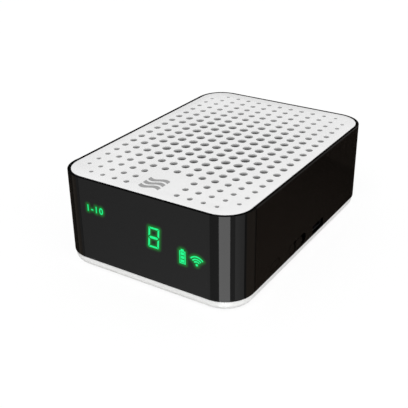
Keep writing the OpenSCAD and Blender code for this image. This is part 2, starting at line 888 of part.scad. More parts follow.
// Radio module's own board
module wifi_module() {
    color("#20242a")
    translate([radio_x - radio_w / 2, radio_y - radio_d / 2, board_top])
        cube([radio_w, radio_d, radio_t]);
}

// Shield can over the radio module, clear of its aerial end
module wifi_shield() {
    color("#b9bcc0")
    translate([radio_x, radio_y + aerial_d / 2, board_top + radio_t])
        linear_extrude(shield_h)
            rounded_rect(radio_w - 2 * shield_margin, radio_d - aerial_d - 2 * shield_margin,
                shield_margin);
}

// Metal charging socket: a tube of sheet metal with a closed back
module usb_receptacle() {
    color("#9a9ca0") {
        facing_side(usb_x - usb_l, usb_x, usb_y, usb_z)
            difference() {
                rounded_rect(usb_w, usb_h, usb_r);
                rounded_rect(usb_w - 2 * usb_t, usb_h - 2 * usb_t, usb_r - usb_t);
            }
        facing_side(usb_x - usb_l, usb_x - usb_l + usb_t, usb_y, usb_z)
            rounded_rect(usb_w, usb_h, usb_r);
    }
}

// Plastic tongue in the socket, on the block that carries it
module usb_tongue() {
    inner = usb_t + tongue_gap;
    back = usb_x - usb_l + inner;
    color("#202225") {
        facing_side(back, back + tongue_block, usb_y, usb_z)
            rounded_rect(usb_w - 2 * inner, usb_h - 2 * inner, usb_r - inner);
        facing_side(back, usb_x - tongue_recess, usb_y, usb_z)
            square([tongue_w, tongue_t], center = true);
    }
}

// Tact switch lying on the board, with the hole for its plunger
module tact_switch() {
    color("#2e3033")
    difference() {
        translate([tact_x - tact_d, button_y - tact_l / 2, board_top])
            cube([tact_d, tact_l, tact_h]);
        facing_side(tact_x - plunger_in - button_travel - plunger_gap, tact_x + over, button_y, button_z)
            circle(d = plunger_d + 2 * plunger_gap);
    }
}

// Plunger of the tact switch, touching the button's stem
module tact_plunger() {
    color("#b8b0a0")
    facing_side(tact_x - plunger_in, tact_x + plunger_out, button_y, button_z)
        circle(d = plunger_d);
}

// Push button: face flush with the side, flange behind the wall, stem towards the switch
module button_cap() {
    color("#181514") {
        facing_side(flange_x, shell_w / 2, button_y, button_z)
            stadium(button_l, button_h);
        facing_side(flange_x, flange_x + flange_t, button_y, button_z)
            stadium(button_l + 2 * flange_over, button_h + 2 * flange_over);
        facing_side(flange_x - stem_l, flange_x, button_y, button_z)
            circle(d = stem_d);
    }
}

// Slide switch lying on the board, with the slot that its lever runs in
module slide_switch() {
    color("#9a9ca0")
    difference() {
        translate([switch_x - switch_d, slot_y - switch_l / 2, board_top])
            cube([switch_d, switch_l, switch_h]);
        facing_side(switch_x - lever_in - lever_gap, switch_x + over, slot_y, slot_z)
            square([lever_l + slot_travel + 4 * lever_gap, lever_h + 2 * lever_gap], center = true);
    }
}

// Lever of the slide switch, from its body into the knob
module switch_lever() {
    color("#26282b")
    facing_side(switch_x - lever_in, flange_x + lever_out, knob_y, slot_z)
        square([lever_l, lever_h], center = true);
}

// Knob of the slide switch: flush face with one upright ridge, flange behind the wall
module slide_knob() {
    knob_h = slot_h - 2 * control_gap;
    color("#181514")
    difference() {
        union() {
            facing_side(flange_x, shell_w / 2, knob_y, slot_z)
                stadium(knob_l, knob_h);
            facing_side(flange_x, flange_x + flange_t, knob_y, slot_z)
                stadium(knob_l + 2 * flange_over, knob_h + 2 * flange_over);
            facing_side(flange_x + flange_t, shell_w / 2 + ridge_out, knob_y, slot_z)
                square([ridge_w, knob_h], center = true);
        }
        facing_side(flange_x - over, flange_x + lever_out + lever_gap, knob_y, slot_z)
            square([lever_l + 2 * lever_gap, lever_h + 2 * lever_gap], center = true);
    }
}

// Display board: narrow between the corner bosses, wide across the posts
module display_board() {
    low = board_top + display_rise;
    wide_low = post_z[0] - display_margin;
    wide_high = post_z[1] + display_margin;
    wide = post_x + display_margin;
    color("#1f5a38")
    facing_front(display_y, display_back, 0, 0)
        difference() {
            union() {
                translate([-display_w / 2, low])
                    square([display_w, wide_high - low]);
                translate([-wide, wide_low])
                    square([2 * wide, wide_high - wide_low]);
            }
            for (i = [-1, 1], z = post_z)
                translate([i * post_x, z])
                    circle(d = small_d + 2 * screw_gap);
        }
}

// Four screws that hold the display board on its posts
module display_screws() {
    color("#8f9196")
    for (i = [-1, 1], z = post_z)
        translate([i * post_x, display_back, z])
            rotate([90, 0, 0])
                screw(small_d, display_t + small_l, small_head_d, small_head_h);
}

// Pin strip on the main board whose pins reach the display board
module display_header() {
    strip = header_pins * header_pitch;
    color("#26282b") {
        translate([-strip / 2, board_y0, board_top])
            cube([strip, header_w, header_w]);
        for (k = [0 : header_pins - 1])
            facing_front(display_back, board_y0 + header_w / 2,
                (k - (header_pins - 1) / 2) * header_pitch, board_top + display_rise + header_w / 4)
                square(pin_w, center = true);
    }
}

// One light stroke with pointed ends, along x
module stroke(l, t) {
    polygon([[-l / 2, 0], [(t - l) / 2, t / 2], [(l - t) / 2, t / 2],
             [l / 2, 0], [(l - t) / 2, -t / 2], [(t - l) / 2, -t / 2]]);
}

// The seven strokes of a digit, each grown by a gap
module digit_strokes(grow) {
    half_w = (digit_w - stroke_w) / 2;
    half_h = (digit_h - stroke_w) / 2;
    for (level = [-1, 0, 1])
        translate([0, level * half_h])
            stroke(2 * half_w - 4 * stroke_gap + 2 * grow, stroke_w + 2 * grow);
    for (i = [-1, 1], level = [-1, 1])
        translate([i * half_w, level * half_h / 2])
            rotate([0, 0, 90])
                stroke(half_h - 4 * stroke_gap + 2 * grow, stroke_w + 2 * grow);
}

// Children at the three digits of the display
module at_digits() {
    for (k = [-1, 0, 1])
        translate([k * digit_pitch, 0])
            children();
}

// Lamp module on the display board, with a pocket for each light stroke
module digit_display() {
    face = display_y - digit_module_t;
    color("#202225")
    difference() {
        facing_front(face, display_y, digit_x, digit_z)
            square([digit_module_w, digit_module_h], center = true);
        facing_front(face - over, face + stroke_t, digit_x, digit_z)
            at_digits()
                digit_strokes(stroke_gap / 2);
    }
}

// Clear strokes that carry the digits' light
module digit_segments() {
    face = display_y - digit_module_t;
    color("#35e27a")
    facing_front(face, face + stroke_t, digit_x, digit_z)
        at_digits()
            digit_strokes(0);
}

// Black mask in the window, with a well for the digits and one behind each sign
module light_mask() {
    color("#141414")
    facing_front(film_back, display_y, 0, 0)
        difference() {
            translate([0, window_z + window_h / 2])
                square([window_w - 2 * mask_gap, window_h - 2 * mask_gap], center = true);
            translate([digit_x, digit_z])
                square([digit_module_w + 4 * stroke_gap, digit_module_h + 4 * stroke_gap], center = true);
            for (well = icon_wells)
                translate([well[0], well[1]])
                    square([well[2], well[3]], center = true);
        }
}

// Printed film between the mask and the panel
module mask_film() {
    color("#101010")
    facing_front(panel_back, film_back, 0, window_z + window_h / 2)
        square([window_w - 2 * mask_gap, window_h - 2 * mask_gap], center = true);
}

// One lamp on the display board behind each sign
module icon_leds() {
    color("#d8efe0")
    for (well = icon_wells)
        facing_front(display_y - lamp_t, display_y, well[0], well[1])
            square([lamp_l, lamp_w], center = true);
}

// Case of the particle sensor: air channel, laser bay and fan chamber, on four pegged legs
module sensor_case() {
    top = sensor_z + sensor_h + over;
    color("#4b4e53")
    difference() {
        union() {
            translate([sensor_x - sensor_w / 2, sensor_y - sensor_d / 2, sensor_z])
                cube([sensor_w, sensor_d, sensor_h]);
            translate([sensor_x, sensor_y, 0])
                at_corners(leg_x, leg_y) {
                    translate([0, 0, board_top])
                        cylinder(d = leg_d, h = leg_h + sink);
                    translate([0, 0, board_bottom])
                        cylinder(d = leg_peg_d, h = board_t + sink);
                }
        }
        translate([fan_x, fan_y, sensor_in])
            cylinder(d = chamber_d, h = sensor_h);
        box_between([channel_x - channel_w / 2, sensor_y - sensor_d / 2 + channel_w / 2, sensor_in],
            [channel_x + channel_w / 2, fan_y + channel_w / 2, top]);
        box_between([channel_x, fan_y - channel_w / 2, sensor_in],
            [fan_x, fan_y + channel_w / 2, top]);
        box_between([laser_x, laser_y - laser_d / 2 - laser_gap, sensor_in],
            [laser_x + laser_l + 2 * laser_gap, laser_y + laser_d / 2 + laser_gap, top]);
        facing_side(channel_x, laser_x + over, laser_y, laser_z)
            circle(d = beam_d);
    }
}

// Cover of the particle sensor, with inlet slots over the channel and an outlet over the fan
module sensor_cover() {
    color("#55585e")
    translate([0, 0, sensor_z + sensor_h])
        linear_extrude(cover_t)
            difference() {
                translate([sensor_x, sensor_y])
                    square([sensor_w, sensor_d], center = true);
                for (k = [0 : cover_slots - 1])
                    translate([channel_x, laser_y + channel_w / 2 + (2 * k + 1) * cover_bar])
                        square([channel_w - cover_bar, cover_bar], center = true);
                translate([fan_x, fan_y])
                    difference() {
                        circle(d = fan_d - 2 * cover_bar);
                        square([fan_d, cover_bar], center = true);
                        square([cover_bar, fan_d], center = true);
                    }
            }
}

// Pin strip between the main board and the sensor
module sensor_header() {
    color("#26282b")
    translate([fan_x - strip_w / 2, sensor_y - sensor_d / 2 + strip_y, board_top])
        cube([strip_w, strip_d, leg_h]);
}

// Laser lying in its bay, aimed across the air channel
module laser_module() {
    color("#b08a3c")
    facing_side(laser_x + laser_gap, laser_x + laser_gap + laser_l, laser_y, laser_z)
        circle(d = laser_d);
}

// Detector's board on the floor of the air channel
module detector_board() {
    color("#1f5a38")
    translate([channel_x, laser_y, sensor_in])
        linear_extrude(detector_t)
            square([channel_w - 2 * tongue_gap, laser_d], center = true);
}

// Detector under the laser beam
module photodiode() {
    color("#111318")
    translate([channel_x, laser_y, sensor_in + detector_t])
        linear_extrude(photodiode_h)
            square(photodiode_w, center = true);
}

// Coils of the fan's motor, with the shaft that the fan runs on
module fan_motor() {
    color("#a5713a")
    translate([fan_x, fan_y, sensor_in]) {
        cylinder(d = hub_d - 2 * hub_t - 2 * coil_gap, h = coil_h);
        cylinder(d = shaft_d, h = fan_rise + fan_h);
    }
}

// Plan of the fan: the wall of its hub and the leaning blades round it
module fan_plan() {
    root = (hub_d - hub_t) / 2;
    difference() {
        circle(d = hub_d);
        circle(d = hub_d - 2 * hub_t);
    }
    intersection() {
        circle(d = fan_d);
        for (k = [0 : fan_blades - 1])
            rotate([0, 0, k * 360 / fan_blades])
                translate([root, 0])
                    rotate([0, 0, blade_lean])
                        translate([0, -blade_t / 2])
                            square([fan_d / 2, blade_t]);
    }
}

// Fan: a cup over the coils, a sleeve on the shaft and leaning blades
module fan_rotor() {
    sleeve_z = coil_h + coil_gap - fan_rise;
    color("#2a2c30")
    translate([fan_x, fan_y, fan_z])
        difference() {
            union() {
                linear_extrude(fan_h)
                    fan_plan();
                translate([0, 0, fan_h - hub_top])
                    cylinder(d = hub_d - hub_t, h = hub_top - sink);
                translate([0, 0, sleeve_z])
                    cylinder(d = sleeve_d, h = fan_h - sleeve_z - hub_top / 2);
            }
            translate([0, 0, -over])
                cylinder(d = shaft_d + 2 * shaft_gap, h = fan_h + 2 * over);
        }
}

// Flat battery cell with rounded long edges
module battery_cell() {
    color("#8a8d92")
    facing_side(-cell_l / 2, cell_l / 2, cell_y, cell_z + cell_t / 2)
        rounded_rect(cell_w, cell_t, cell_r);
}

// Foam pad that sticks the cell to the main board
module battery_pad() {
    color("#33363a")
    translate([0, cell_y, board_top])
        linear_extrude(pad_t)
            square([cell_l - 2 * pad_margin, cell_w - 2 * cell_r - 2 * pad_margin], center = true);
}

// Battery socket on the main board
module battery_socket() {
    color("#e6e0d0")
    translate([radio_x - plug_w / 2, plug_y - plug_d / 2, board_top])
        cube([plug_w, plug_d, plug_h]);
}

// Two short leads from the cell to its socket
module battery_leads() {
    color("#a02a22")
    for (i = [-1, 1])
        facing_front(plug_y + plug_d / 2, cell_y - cell_w / 2, radio_x + i * lead_pitch / 2, lead_z)
            circle(d = lead_d);
}

outer_shell();
front_panel();
top_grille();
dust_filter();
base_tray();
rubber_feet();
case_screws();
main_board();
board_screws();
board_chips();
wifi_module();
wifi_shield();
usb_receptacle();
usb_tongue();
tact_switch();
tact_plunger();
button_cap();
slide_switch();
switch_lever();
slide_knob();
display_board();
display_screws();
display_header();
digit_display();
digit_segments();
light_mask();
mask_film();
icon_leds();
sensor_case();
sensor_cover();
sensor_header();
laser_module();
detector_board();
photodiode();
fan_motor();
fan_rotor();
battery_cell();
battery_pad();
battery_socket();
battery_leads();
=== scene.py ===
import math

import bpy
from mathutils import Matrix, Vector


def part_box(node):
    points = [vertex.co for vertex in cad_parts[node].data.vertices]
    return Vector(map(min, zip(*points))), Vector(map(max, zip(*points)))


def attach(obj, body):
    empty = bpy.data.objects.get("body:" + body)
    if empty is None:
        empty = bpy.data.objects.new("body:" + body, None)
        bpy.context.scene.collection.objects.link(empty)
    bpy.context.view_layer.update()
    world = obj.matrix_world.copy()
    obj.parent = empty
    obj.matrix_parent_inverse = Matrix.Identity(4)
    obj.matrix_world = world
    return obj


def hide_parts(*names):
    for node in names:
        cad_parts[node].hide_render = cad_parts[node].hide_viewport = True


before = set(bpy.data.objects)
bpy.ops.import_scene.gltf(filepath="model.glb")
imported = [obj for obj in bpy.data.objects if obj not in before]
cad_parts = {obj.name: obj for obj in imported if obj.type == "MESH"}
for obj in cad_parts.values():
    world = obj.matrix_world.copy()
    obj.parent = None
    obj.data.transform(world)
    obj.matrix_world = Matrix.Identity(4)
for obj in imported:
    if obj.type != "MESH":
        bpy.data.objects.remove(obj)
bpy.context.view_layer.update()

# Base tray: the white lower half of the case, with a rounded lower edge all round.
# Injection-moulded plastic with a satin skin. Four screws from below pull it up against
# the sleeve, and a lip inside the sleeve centres it.
mm = 0.001
base_white = (0.80, 0.80, 0.79, 1)
base_edge = 0.12 * mm
base_grain = 0.002 * mm
merge_gap = 0.001 * mm
flat_angle = math.radians(0.5)
sharp_angle = math.radians(40)
smooth_angle = math.radians(35)


def only(piece):
    """Leaves one object selected and active, ready for the operators."""
    bpy.ops.object.select_all(action="DESELECT")
    piece.select_set(True)
    bpy.context.view_layer.objects.active = piece


def round_edges(piece, width):
    """Gives every sharp edge a small round, and keeps the flat faces flat in the light."""
    only(piece)
    bevel = piece.modifiers.new("edges", "BEVEL")
    bevel.width = width
    bevel.segments = 2
    bevel.limit_method = "ANGLE"
    bevel.angle_limit = sharp_angle
    bevel.use_clamp_overlap = False
    bpy.ops.object.modifier_apply(modifier=bevel.name)
    bpy.ops.object.shade_smooth_by_angle(angle=smooth_angle)
    normals = piece.modifiers.new("normals", "WEIGHTED_NORMAL")
    normals.keep_sharp = True
    bpy.ops.object.modifier_apply(modifier=normals.name)


def soft_edged(node, width):
    """A copy of a piece of the frame with its triangles joined and its edges rounded."""
    piece = bpy.data.objects.new(node + "_shown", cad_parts[node].data.copy())
    bpy.context.collection.objects.link(piece)
    only(piece)
    bpy.ops.object.mode_set(mode="EDIT")
    bpy.ops.mesh.select_all(action="SELECT")
    bpy.ops.mesh.remove_doubles(threshold=merge_gap)
    bpy.ops.mesh.dissolve_limited(angle_limit=flat_angle)
    bpy.ops.object.mode_set(mode="OBJECT")
    round_edges(piece, width)
    return piece


def put(tree, kind, inputs, **options):
    """Adds a shader node with its options, and sets or links its inputs."""
    node = tree.nodes.new(kind)
    for option, value in options.items():
        setattr(node, option, value)
    for socket, value in inputs.items():
        if isinstance(value, bpy.types.NodeSocket):
            tree.links.new(value, node.inputs[socket])
        else:
            node.inputs[socket].default_value = value
    return node


def group_tree(name, inputs, outputs):
    """Starts a shader node group with named sockets."""
    tree = bpy.data.node_groups.new(name, "ShaderNodeTree")
    for direction, sockets in (("INPUT", inputs), ("OUTPUT", outputs)):
        for socket, kind in sockets.items():
            tree.interface.new_socket(socket, in_out=direction, socket_type="NodeSocket" + kind)
    return tree, tree.nodes.new("NodeGroupInput").outputs


# Moulded skin: a fine even grain, with a slow drift of tone and gloss over the surface
moulded_skin, given = group_tree(
    "moulded_skin",
    {"Colour": "Color", "Roughness": "Float", "Grains per metre": "Float"},
    {"Colour": "Color", "Roughness": "Float", "Height": "Float"},
)
place = put(moulded_skin, "ShaderNodeTexCoord", {}).outputs["Object"]
grain = put(moulded_skin, "ShaderNodeTexNoise", {
    "Vector": place, "Scale": given["Grains per metre"], "Detail": 3.0, "Roughness": 0.6})
drift = put(moulded_skin, "ShaderNodeTexNoise", {"Vector": place, "Scale": 60.0, "Detail": 2.0})
tone = put(moulded_skin, "ShaderNodeMapRange", {
    "Value": drift.outputs["Fac"],
    "From Min": 0.3, "From Max": 0.7, "To Min": 0.98, "To Max": 1.02})
shade = put(moulded_skin, "ShaderNodeVectorMath", {
    "Vector": given["Colour"], "Scale": tone.outputs["Result"]}, operation="SCALE")
gloss_drift = put(moulded_skin, "ShaderNodeMapRange", {
    "Value": grain.outputs["Fac"],
    "From Min": 0.3, "From Max": 0.7, "To Min": 0.85, "To Max": 1.15})
gloss = put(moulded_skin, "ShaderNodeMath", {
    0: given["Roughness"], 1: gloss_drift.outputs["Result"]}, operation="MULTIPLY", use_clamp=True)
put(moulded_skin, "NodeGroupOutput", {
    "Colour": shade.outputs["Vector"], "Roughness": gloss.outputs["Value"],
    "Height": grain.outputs["Fac"]})


def moulded(name, colour, roughness, grains, depth, specular=0.5):
    """Moulded plastic or rubber: one colour under a skin of fine grains."""
    material = bpy.data.materials.new(name)
    material.use_nodes = True
    tree = material.node_tree
    skin = put(tree, "ShaderNodeGroup", {
        "Colour": colour, "Roughness": roughness, "Grains per metre": grains},
        node_tree=moulded_skin)
    bump = put(tree, "ShaderNodeBump", {
        "Height": skin.outputs["Height"], "Strength": 0.5, "Distance": depth})
    shader = tree.nodes["Principled BSDF"]
    shader.inputs["Specular IOR Level"].default_value = specular
    tree.links.new(skin.outputs["Colour"], shader.inputs["Base Color"])
    tree.links.new(skin.outputs["Roughness"], shader.inputs["Roughness"])
    tree.links.new(bump.outputs["Normal"], shader.inputs["Normal"])
    return material


def show(piece, material, body, slot, *nodes):
    """Dresses a piece, lets it ride on its body, and puts it in place of pieces of the frame."""
    piece.data.materials.clear()
    piece.data.materials.append(material)
    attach(piece, body)
    if nodes:
        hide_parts(*nodes)


base = soft_edged("base_tray", base_edge)
satin_base = moulded("satin_white_base", base_white, roughness=0.45, grains=3500, depth=base_grain)
show(base, satin_base, "housing", "base_white", "base_tray")

# Rubber feet: four soft pads pressed into round recesses under the base.
# Matte black rubber with a dusty grain; the lower rim narrows slightly.
foot_black = (0.025, 0.025, 0.025, 1)
foot_edge = 0.25 * mm
feet = soft_edged("rubber_feet", foot_edge)
matte_rubber = moulded("matte_rubber", foot_black, roughness=0.75, grains=5000, depth=0.02 * mm)
show(feet, matte_rubber, "housing", "foot_rubber", "rubber_feet")

# Case screws: four zinc-plated steel screws with a cross, sunk in the base.
# Turned metal, so the gloss runs in fine rings and streaks over the head.
screw_zinc = (0.45, 0.45, 0.47, 1)
screw_edge = 0.08 * mm

# Worked metal: streaks that run one way, in tone, gloss and depth
worked_metal, given = group_tree(
    "worked_metal",
    {"Colour": "Color", "Roughness": "Float", "Streaks": "Vector"},
    {"Colour": "Color", "Roughness": "Float", "Height": "Float"},
)
place = put(worked_metal, "ShaderNodeTexCoord", {}).outputs["Object"]
along = put(worked_metal, "ShaderNodeVectorMath", {
    0: place, 1: given["Streaks"]}, operation="MULTIPLY")
streak = put(worked_metal, "ShaderNodeTexNoise", {
    "Vector": along.outputs["Vector"], "Scale": 1.0, "Detail": 4.0, "Roughness": 0.7})
tone = put(worked_metal, "ShaderNodeMapRange", {
    "Value": streak.outputs["Fac"],
    "From Min": 0.3, "From Max": 0.7, "To Min": 0.85, "To Max": 1.1})
shade = put(worked_metal, "ShaderNodeVectorMath", {
    "Vector": given["Colour"], "Scale": tone.outputs["Result"]}, operation="SCALE")
gloss_drift = put(worked_metal, "ShaderNodeMapRange", {
    "Value": streak.outputs["Fac"],
    "From Min": 0.3, "From Max": 0.7, "To Min": -0.08, "To Max": 0.08})
gloss = put(worked_metal, "ShaderNodeMath", {
    0: given["Roughness"], 1: gloss_drift.outputs["Result"]}, operation="ADD", use_clamp=True)
put(worked_metal, "NodeGroupOutput", {
    "Colour": shade.outputs["Vector"], "Roughness": gloss.outputs["Value"],
    "Height": streak.outputs["Fac"]})


def metal(name, colour, roughness, streaks, depth):
    """Bare metal with streaks; streaks gives how many there are per metre along x, y and z."""
    material = bpy.data.materials.new(name)
    material.use_nodes = True
    tree = material.node_tree
    work = put(tree, "ShaderNodeGroup", {
        "Colour": colour, "Roughness": roughness, "Streaks": streaks}, node_tree=worked_metal)
    bump = put(tree, "ShaderNodeBump", {
        "Height": work.outputs["Height"], "Strength": 0.4, "Distance": depth})
    shader = tree.nodes["Principled BSDF"]
    shader.inputs["Metallic"].default_value = 1.0
    tree.links.new(work.outputs["Colour"], shader.inputs["Base Color"])
    tree.links.new(work.outputs["Roughness"], shader.inputs["Roughness"])
    tree.links.new(bump.outputs["Normal"], shader.inputs["Normal"])
    return material


zinc = metal("zinc_plate", screw_zinc, roughness=0.32, streaks=(2500, 2500, 900), depth=0.01 * mm)
screws = soft_edged("case_screws", screw_edge)
show(screws, zinc, "housing", "screw_steel", "case_screws")

# Main board: green glass-fibre board on four standoffs, with its screws, chips and radio.
# The copper runs show through the solder mask as slightly lighter lines.
mask_green = (0.012, 0.085, 0.035, 1)
copper_green = (0.035, 0.17, 0.07, 1)
resin_black = (0.02, 0.02, 0.022, 1)
radio_dark = (0.02, 0.025, 0.03, 1)
radio_run = (0.04, 0.05, 0.06, 1)
run_w = 0.18 * mm
run_l = 4.2 * mm
run_pitch = 1.1 * mm
can_grey = (0.62, 0.63, 0.64, 1)


def circuit_board(name, mask, run):
    """Solder mask over copper runs: a grid of broken lines, a little proud of the board."""
    material = bpy.data.materials.new(name)
    material.use_nodes = True
    tree = material.node_tree
    spot = put(tree, "ShaderNodeTexCoord", {}).outputs["Object"]
    runs = put(tree, "ShaderNodeTexBrick", {
        "Vector": spot, "Scale": 1.0, "Color1": mask, "Color2": mask, "Mortar": run,
        "Mortar Size": run_w, "Brick Width": run_l, "Row Height": run_pitch})
    weave = put(tree, "ShaderNodeTexNoise", {"Vector": spot, "Scale": 2500.0, "Detail": 2.0})
    gloss = put(tree, "ShaderNodeMapRange", {
        "Value": weave.outputs["Fac"], "To Min": 0.28, "To Max": 0.42})
    bump = put(tree, "ShaderNodeBump", {
        "Height": runs.outputs["Fac"], "Strength": 0.5, "Distance": 0.03 * mm})
    shader = tree.nodes["Principled BSDF"]
    tree.links.new(runs.outputs["Color"], shader.inputs["Base Color"])
    tree.links.new(gloss.outputs["Result"], shader.inputs["Roughness"])
    tree.links.new(bump.outputs["Normal"], shader.inputs["Normal"])
    return material


def finish(material, *nodes):
    """Gives pieces of the frame their finish."""
    for node in nodes:
        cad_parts[node].material_slots[0].material = material


green_board = circuit_board("green_board", mask_green, copper_green)
resin = moulded("black_resin", resin_black, roughness=0.5, grains=4000, depth=0.01 * mm)
sheet_metal = metal(
    "tinned_sheet", can_grey, roughness=0.28, streaks=(300, 4000, 4000), depth=0.005 * mm)
finish(green_board, "main_board")
finish(zinc, "board_screws")
finish(resin, "board_chips")
finish(circuit_board("dark_board", radio_dark, radio_run), "wifi_module")
finish(sheet_metal, "wifi_shield")

# Battery: a flat foil pouch on a foam pad, with two short leads to a cream socket.
# The foil is creased and dull; the leads are insulated in red.
foil_grey = (0.50, 0.52, 0.54, 1)
foam_grey = (0.03, 0.033, 0.036, 1)
cream = (0.50, 0.46, 0.38, 1)
lead_red = (0.40, 0.03, 0.02, 1)
pad_edge = 0.15 * mm
foil = metal("pouch_foil", foil_grey, roughness=0.42, streaks=(220, 380, 300), depth=0.15 * mm)
foam = moulded("foam", foam_grey, roughness=0.9, grains=2600, depth=0.12 * mm)
cream_plastic = moulded("cream_plastic", cream, roughness=0.5, grains=3500, depth=0.006 * mm)
insulation = moulded("red_insulation", lead_red, roughness=0.4, grains=1800, depth=0.01 * mm)
pad = soft_edged("battery_pad", pad_edge)
finish(foil, "battery_cell")
show(pad, foam, "housing", "pad_foam", "battery_pad")
finish(cream_plastic, "battery_socket", "tact_plunger")
finish(insulation, "battery_leads")

# Particle sensor: a dark moulded case with a cover, a fan, a brass laser and a detector.
# Air comes in through the cover's slots, crosses the laser beam and leaves through the fan.
sensor_grey = (0.07, 0.075, 0.08, 1)
fan_black = (0.025, 0.026, 0.03, 1)
brass = (0.55, 0.36, 0.12, 1)
copper = (0.48, 0.22, 0.08, 1)
sensor_plastic = moulded(
    "sensor_plastic", sensor_grey, roughness=0.55, grains=2800, depth=0.012 * mm)
fan_plastic = moulded("fan_plastic", fan_black, roughness=0.35, grains=3000, depth=0.006 * mm)
turned_brass = metal(
    "turned_brass", brass, roughness=0.25, streaks=(6000, 300, 300), depth=0.008 * mm)
coil_wire = metal("coil_wire", copper, roughness=0.3, streaks=(400, 400, 7000), depth=0.04 * mm)
finish(sensor_plastic, "sensor_case", "sensor_cover")
finish(fan_plastic, "fan_rotor")
finish(resin, "sensor_header", "photodiode")
finish(green_board, "detector_board")
finish(turned_brass, "laser_module")
finish(coil_wire, "fan_motor")

# Display stack: board, lamp module, clear light strokes, black mask and printed film.
# Only the strokes and signs that are lit can be seen from outside, through the panel.
lamp_black = (0.012, 0.012, 0.012, 1)
stroke_green = (0.03, 0.75, 0.25, 1)
lamp_clear = (0.75, 0.85, 0.78, 1)
black_mask = moulded("lamp_black_plastic", lamp_black, roughness=0.6, grains=3500, depth=0.01 * mm)
light_strokes = moulded("light_strokes", stroke_green, roughness=0.3, grains=2500, depth=0.004 * mm)
clear_lamps = moulded("clear_lamps", lamp_clear, roughness=0.2, grains=2500, depth=0.004 * mm)
finish(green_board, "display_board")
finish(zinc, "display_screws")
finish(resin, "display_header")
finish(black_mask, "digit_display", "light_mask", "mask_film")
finish(light_strokes, "digit_segments")
finish(clear_lamps, "icon_leds")

# Sleeve: the black wall round the whole case, with a narrow rim round the top plate.
# Moulded in one warm black plastic with a smooth skin; the panel lies flush in its front.
# The flanks of its openings and of the panel's seam are rough, with painted shade: a darker black
# without shine.
sleeve_black = (0.0045, 0.0036, 0.0031, 1)
# The flanks' black is painted shade, darker than the sleeve's own black.
flank_shade_black = (0.001, 0.001, 0.001, 1)
flank_facing = 0.95
openings_in = 33 * mm
openings_y = (-35 * mm, 20 * mm)
openings_z = (4.8 * mm, 11 * mm)
seam_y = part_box("front_panel")[1].y
seam_gap = 0.15 * mm
sleeve_edge = 0.03 * mm
flank_shade = moulded(
    "painted_shade_flank", flank_shade_black, roughness=0.9, grains=3000, depth=0.003 * mm, specular=0.0)


def shade_flanks(piece, test):
    """Gives the faces whose middle and normal pass a test the painted shade of the flanks, rough
    and without shine.
    """
    piece.data.materials.append(flank_shade)
    for face in piece.data.polygons:
        if test(face.center, face.normal):
            face.material_index = 1


def sleeve_flank(middle, normal):
    """Tells the walls of the side's openings and of the seams from the rest of the sleeve."""
    in_opening = (middle.x > openings_in and openings_y[0] < middle.y < openings_y[1]
                  and openings_z[0] < middle.z < openings_z[1])
    in_seam = abs(middle.x) > openings_in and seam_y < middle.y < seam_y + 2 * seam_gap
    return abs(normal.x) < flank_facing and (in_opening or in_seam)


sleeve = soft_edged("outer_shell", sleeve_edge)
satin_sleeve = moulded(
    "satin_black_sleeve", sleeve_black,
    roughness=0.05, grains=3000, depth=0.0003 * mm, specular=0.35)
show(sleeve, satin_sleeve, "housing", "shell_black", "outer_shell")
shade_flanks(sleeve, sleeve_flank)

# Front panel: one smoked acrylic strip as high as the sleeve, wrapped round both front corners.
# Polished on the outside and bonded into the sleeve's front; its upper edge is part of the rim.
# Where the mesh carries a glow, the light of the signs shows in its thickness.
panel_smoke = (0.003, 0.003, 0.003, 1)
glow_green = (0.0, 0.19, 0.016)
panel_edge = 0.03 * mm
smoked = moulded(
    "smoked_acrylic", panel_smoke, roughness=0.05, grains=800, depth=0.0002 * mm, specular=0.2)
tree = smoked.node_tree
glow = put(tree, "ShaderNodeAttribute", {}, attribute_name="glow").outputs["Fac"]
halo = put(tree, "ShaderNodeVectorMath", {"Vector": glow_green, "Scale": glow}, operation="SCALE")
shader = tree.nodes["Principled BSDF"]
shader.inputs["Emission Strength"].default_value = 1.0
tree.links.new(halo.outputs["Vector"], shader.inputs["Emission Color"])
panel = soft_edged("front_panel", panel_edge)
show(panel, smoked, "housing", "panel_smoke", "front_panel")
# Its end faces at the seam get the painted shade of the flanks.
shade_flanks(panel, lambda middle, normal: middle.y > seam_y - seam_gap and abs(normal.x) < flank_facing)

# Lit signs: a label, one figure, a battery and a radio sign, shining green through the panel.
# Each is drawn flat from plain strokes, given a thin body and set in the panel's face.
# A thin haze round them is the light that spreads inside the acrylic.
panel_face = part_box("front_panel")[0].y
front_flat = 25.3 * mm
sign_green = (0.0, 1.0, 0.28)
sign_t = 0.05 * mm
sign_proud = 0.02 * mm
label_at = (-19.35 * mm, 24.75 * mm)
label_size = 3.3 * mm
label_space = 1.25
label_bold = 0.05 * mm
digit_at = (4.9 * mm, 21.15 * mm)
digit_w = 4.45 * mm
digit_h = 7.8 * mm
digit_stroke = 0.88 * mm
digit_gap = 0.24 * mm
digit_slant = math.tan(math.radians(4))
battery_at = (15.93 * mm, 17.3 * mm)
battery_w = 2.35 * mm
battery_h = 4.75 * mm
battery_frame = 0.35 * mm
battery_bars = 3
battery_cap = 0.6 * mm
battery_fill = 0.75
radio_at = (21.35 * mm, 16.15 * mm)
radio_arcs = (1.18 * mm, 2.03 * mm, 2.95 * mm)
radio_line = 0.48 * mm
radio_dot = 0.46 * mm
dot_sides = 24
arc_sides = 64
radio_spread = math.radians(49)
haze_reach = 1.45 * mm
haze_step = 0.25 * mm
haze_margin = 3.5 * mm
haze_proud = 0.008 * mm


def joined(name, flats):
    """Joins shapes into one object."""
    only(flats[0])
    for flat in flats:
        flat.select_set(True)
    bpy.ops.object.join()
    flats[0].name = name
    return flats[0]


def pick(piece, test):
    """In edit mode, selects the faces whose middle and normal pass a test."""
    bpy.ops.mesh.select_mode(type="FACE")
    bpy.ops.mesh.select_all(action="DESELECT")
    bpy.ops.object.mode_set(mode="OBJECT")
    for face in piece.data.polygons:
        face.select = test(face.center, face.normal)
    bpy.ops.object.mode_set(mode="EDIT")


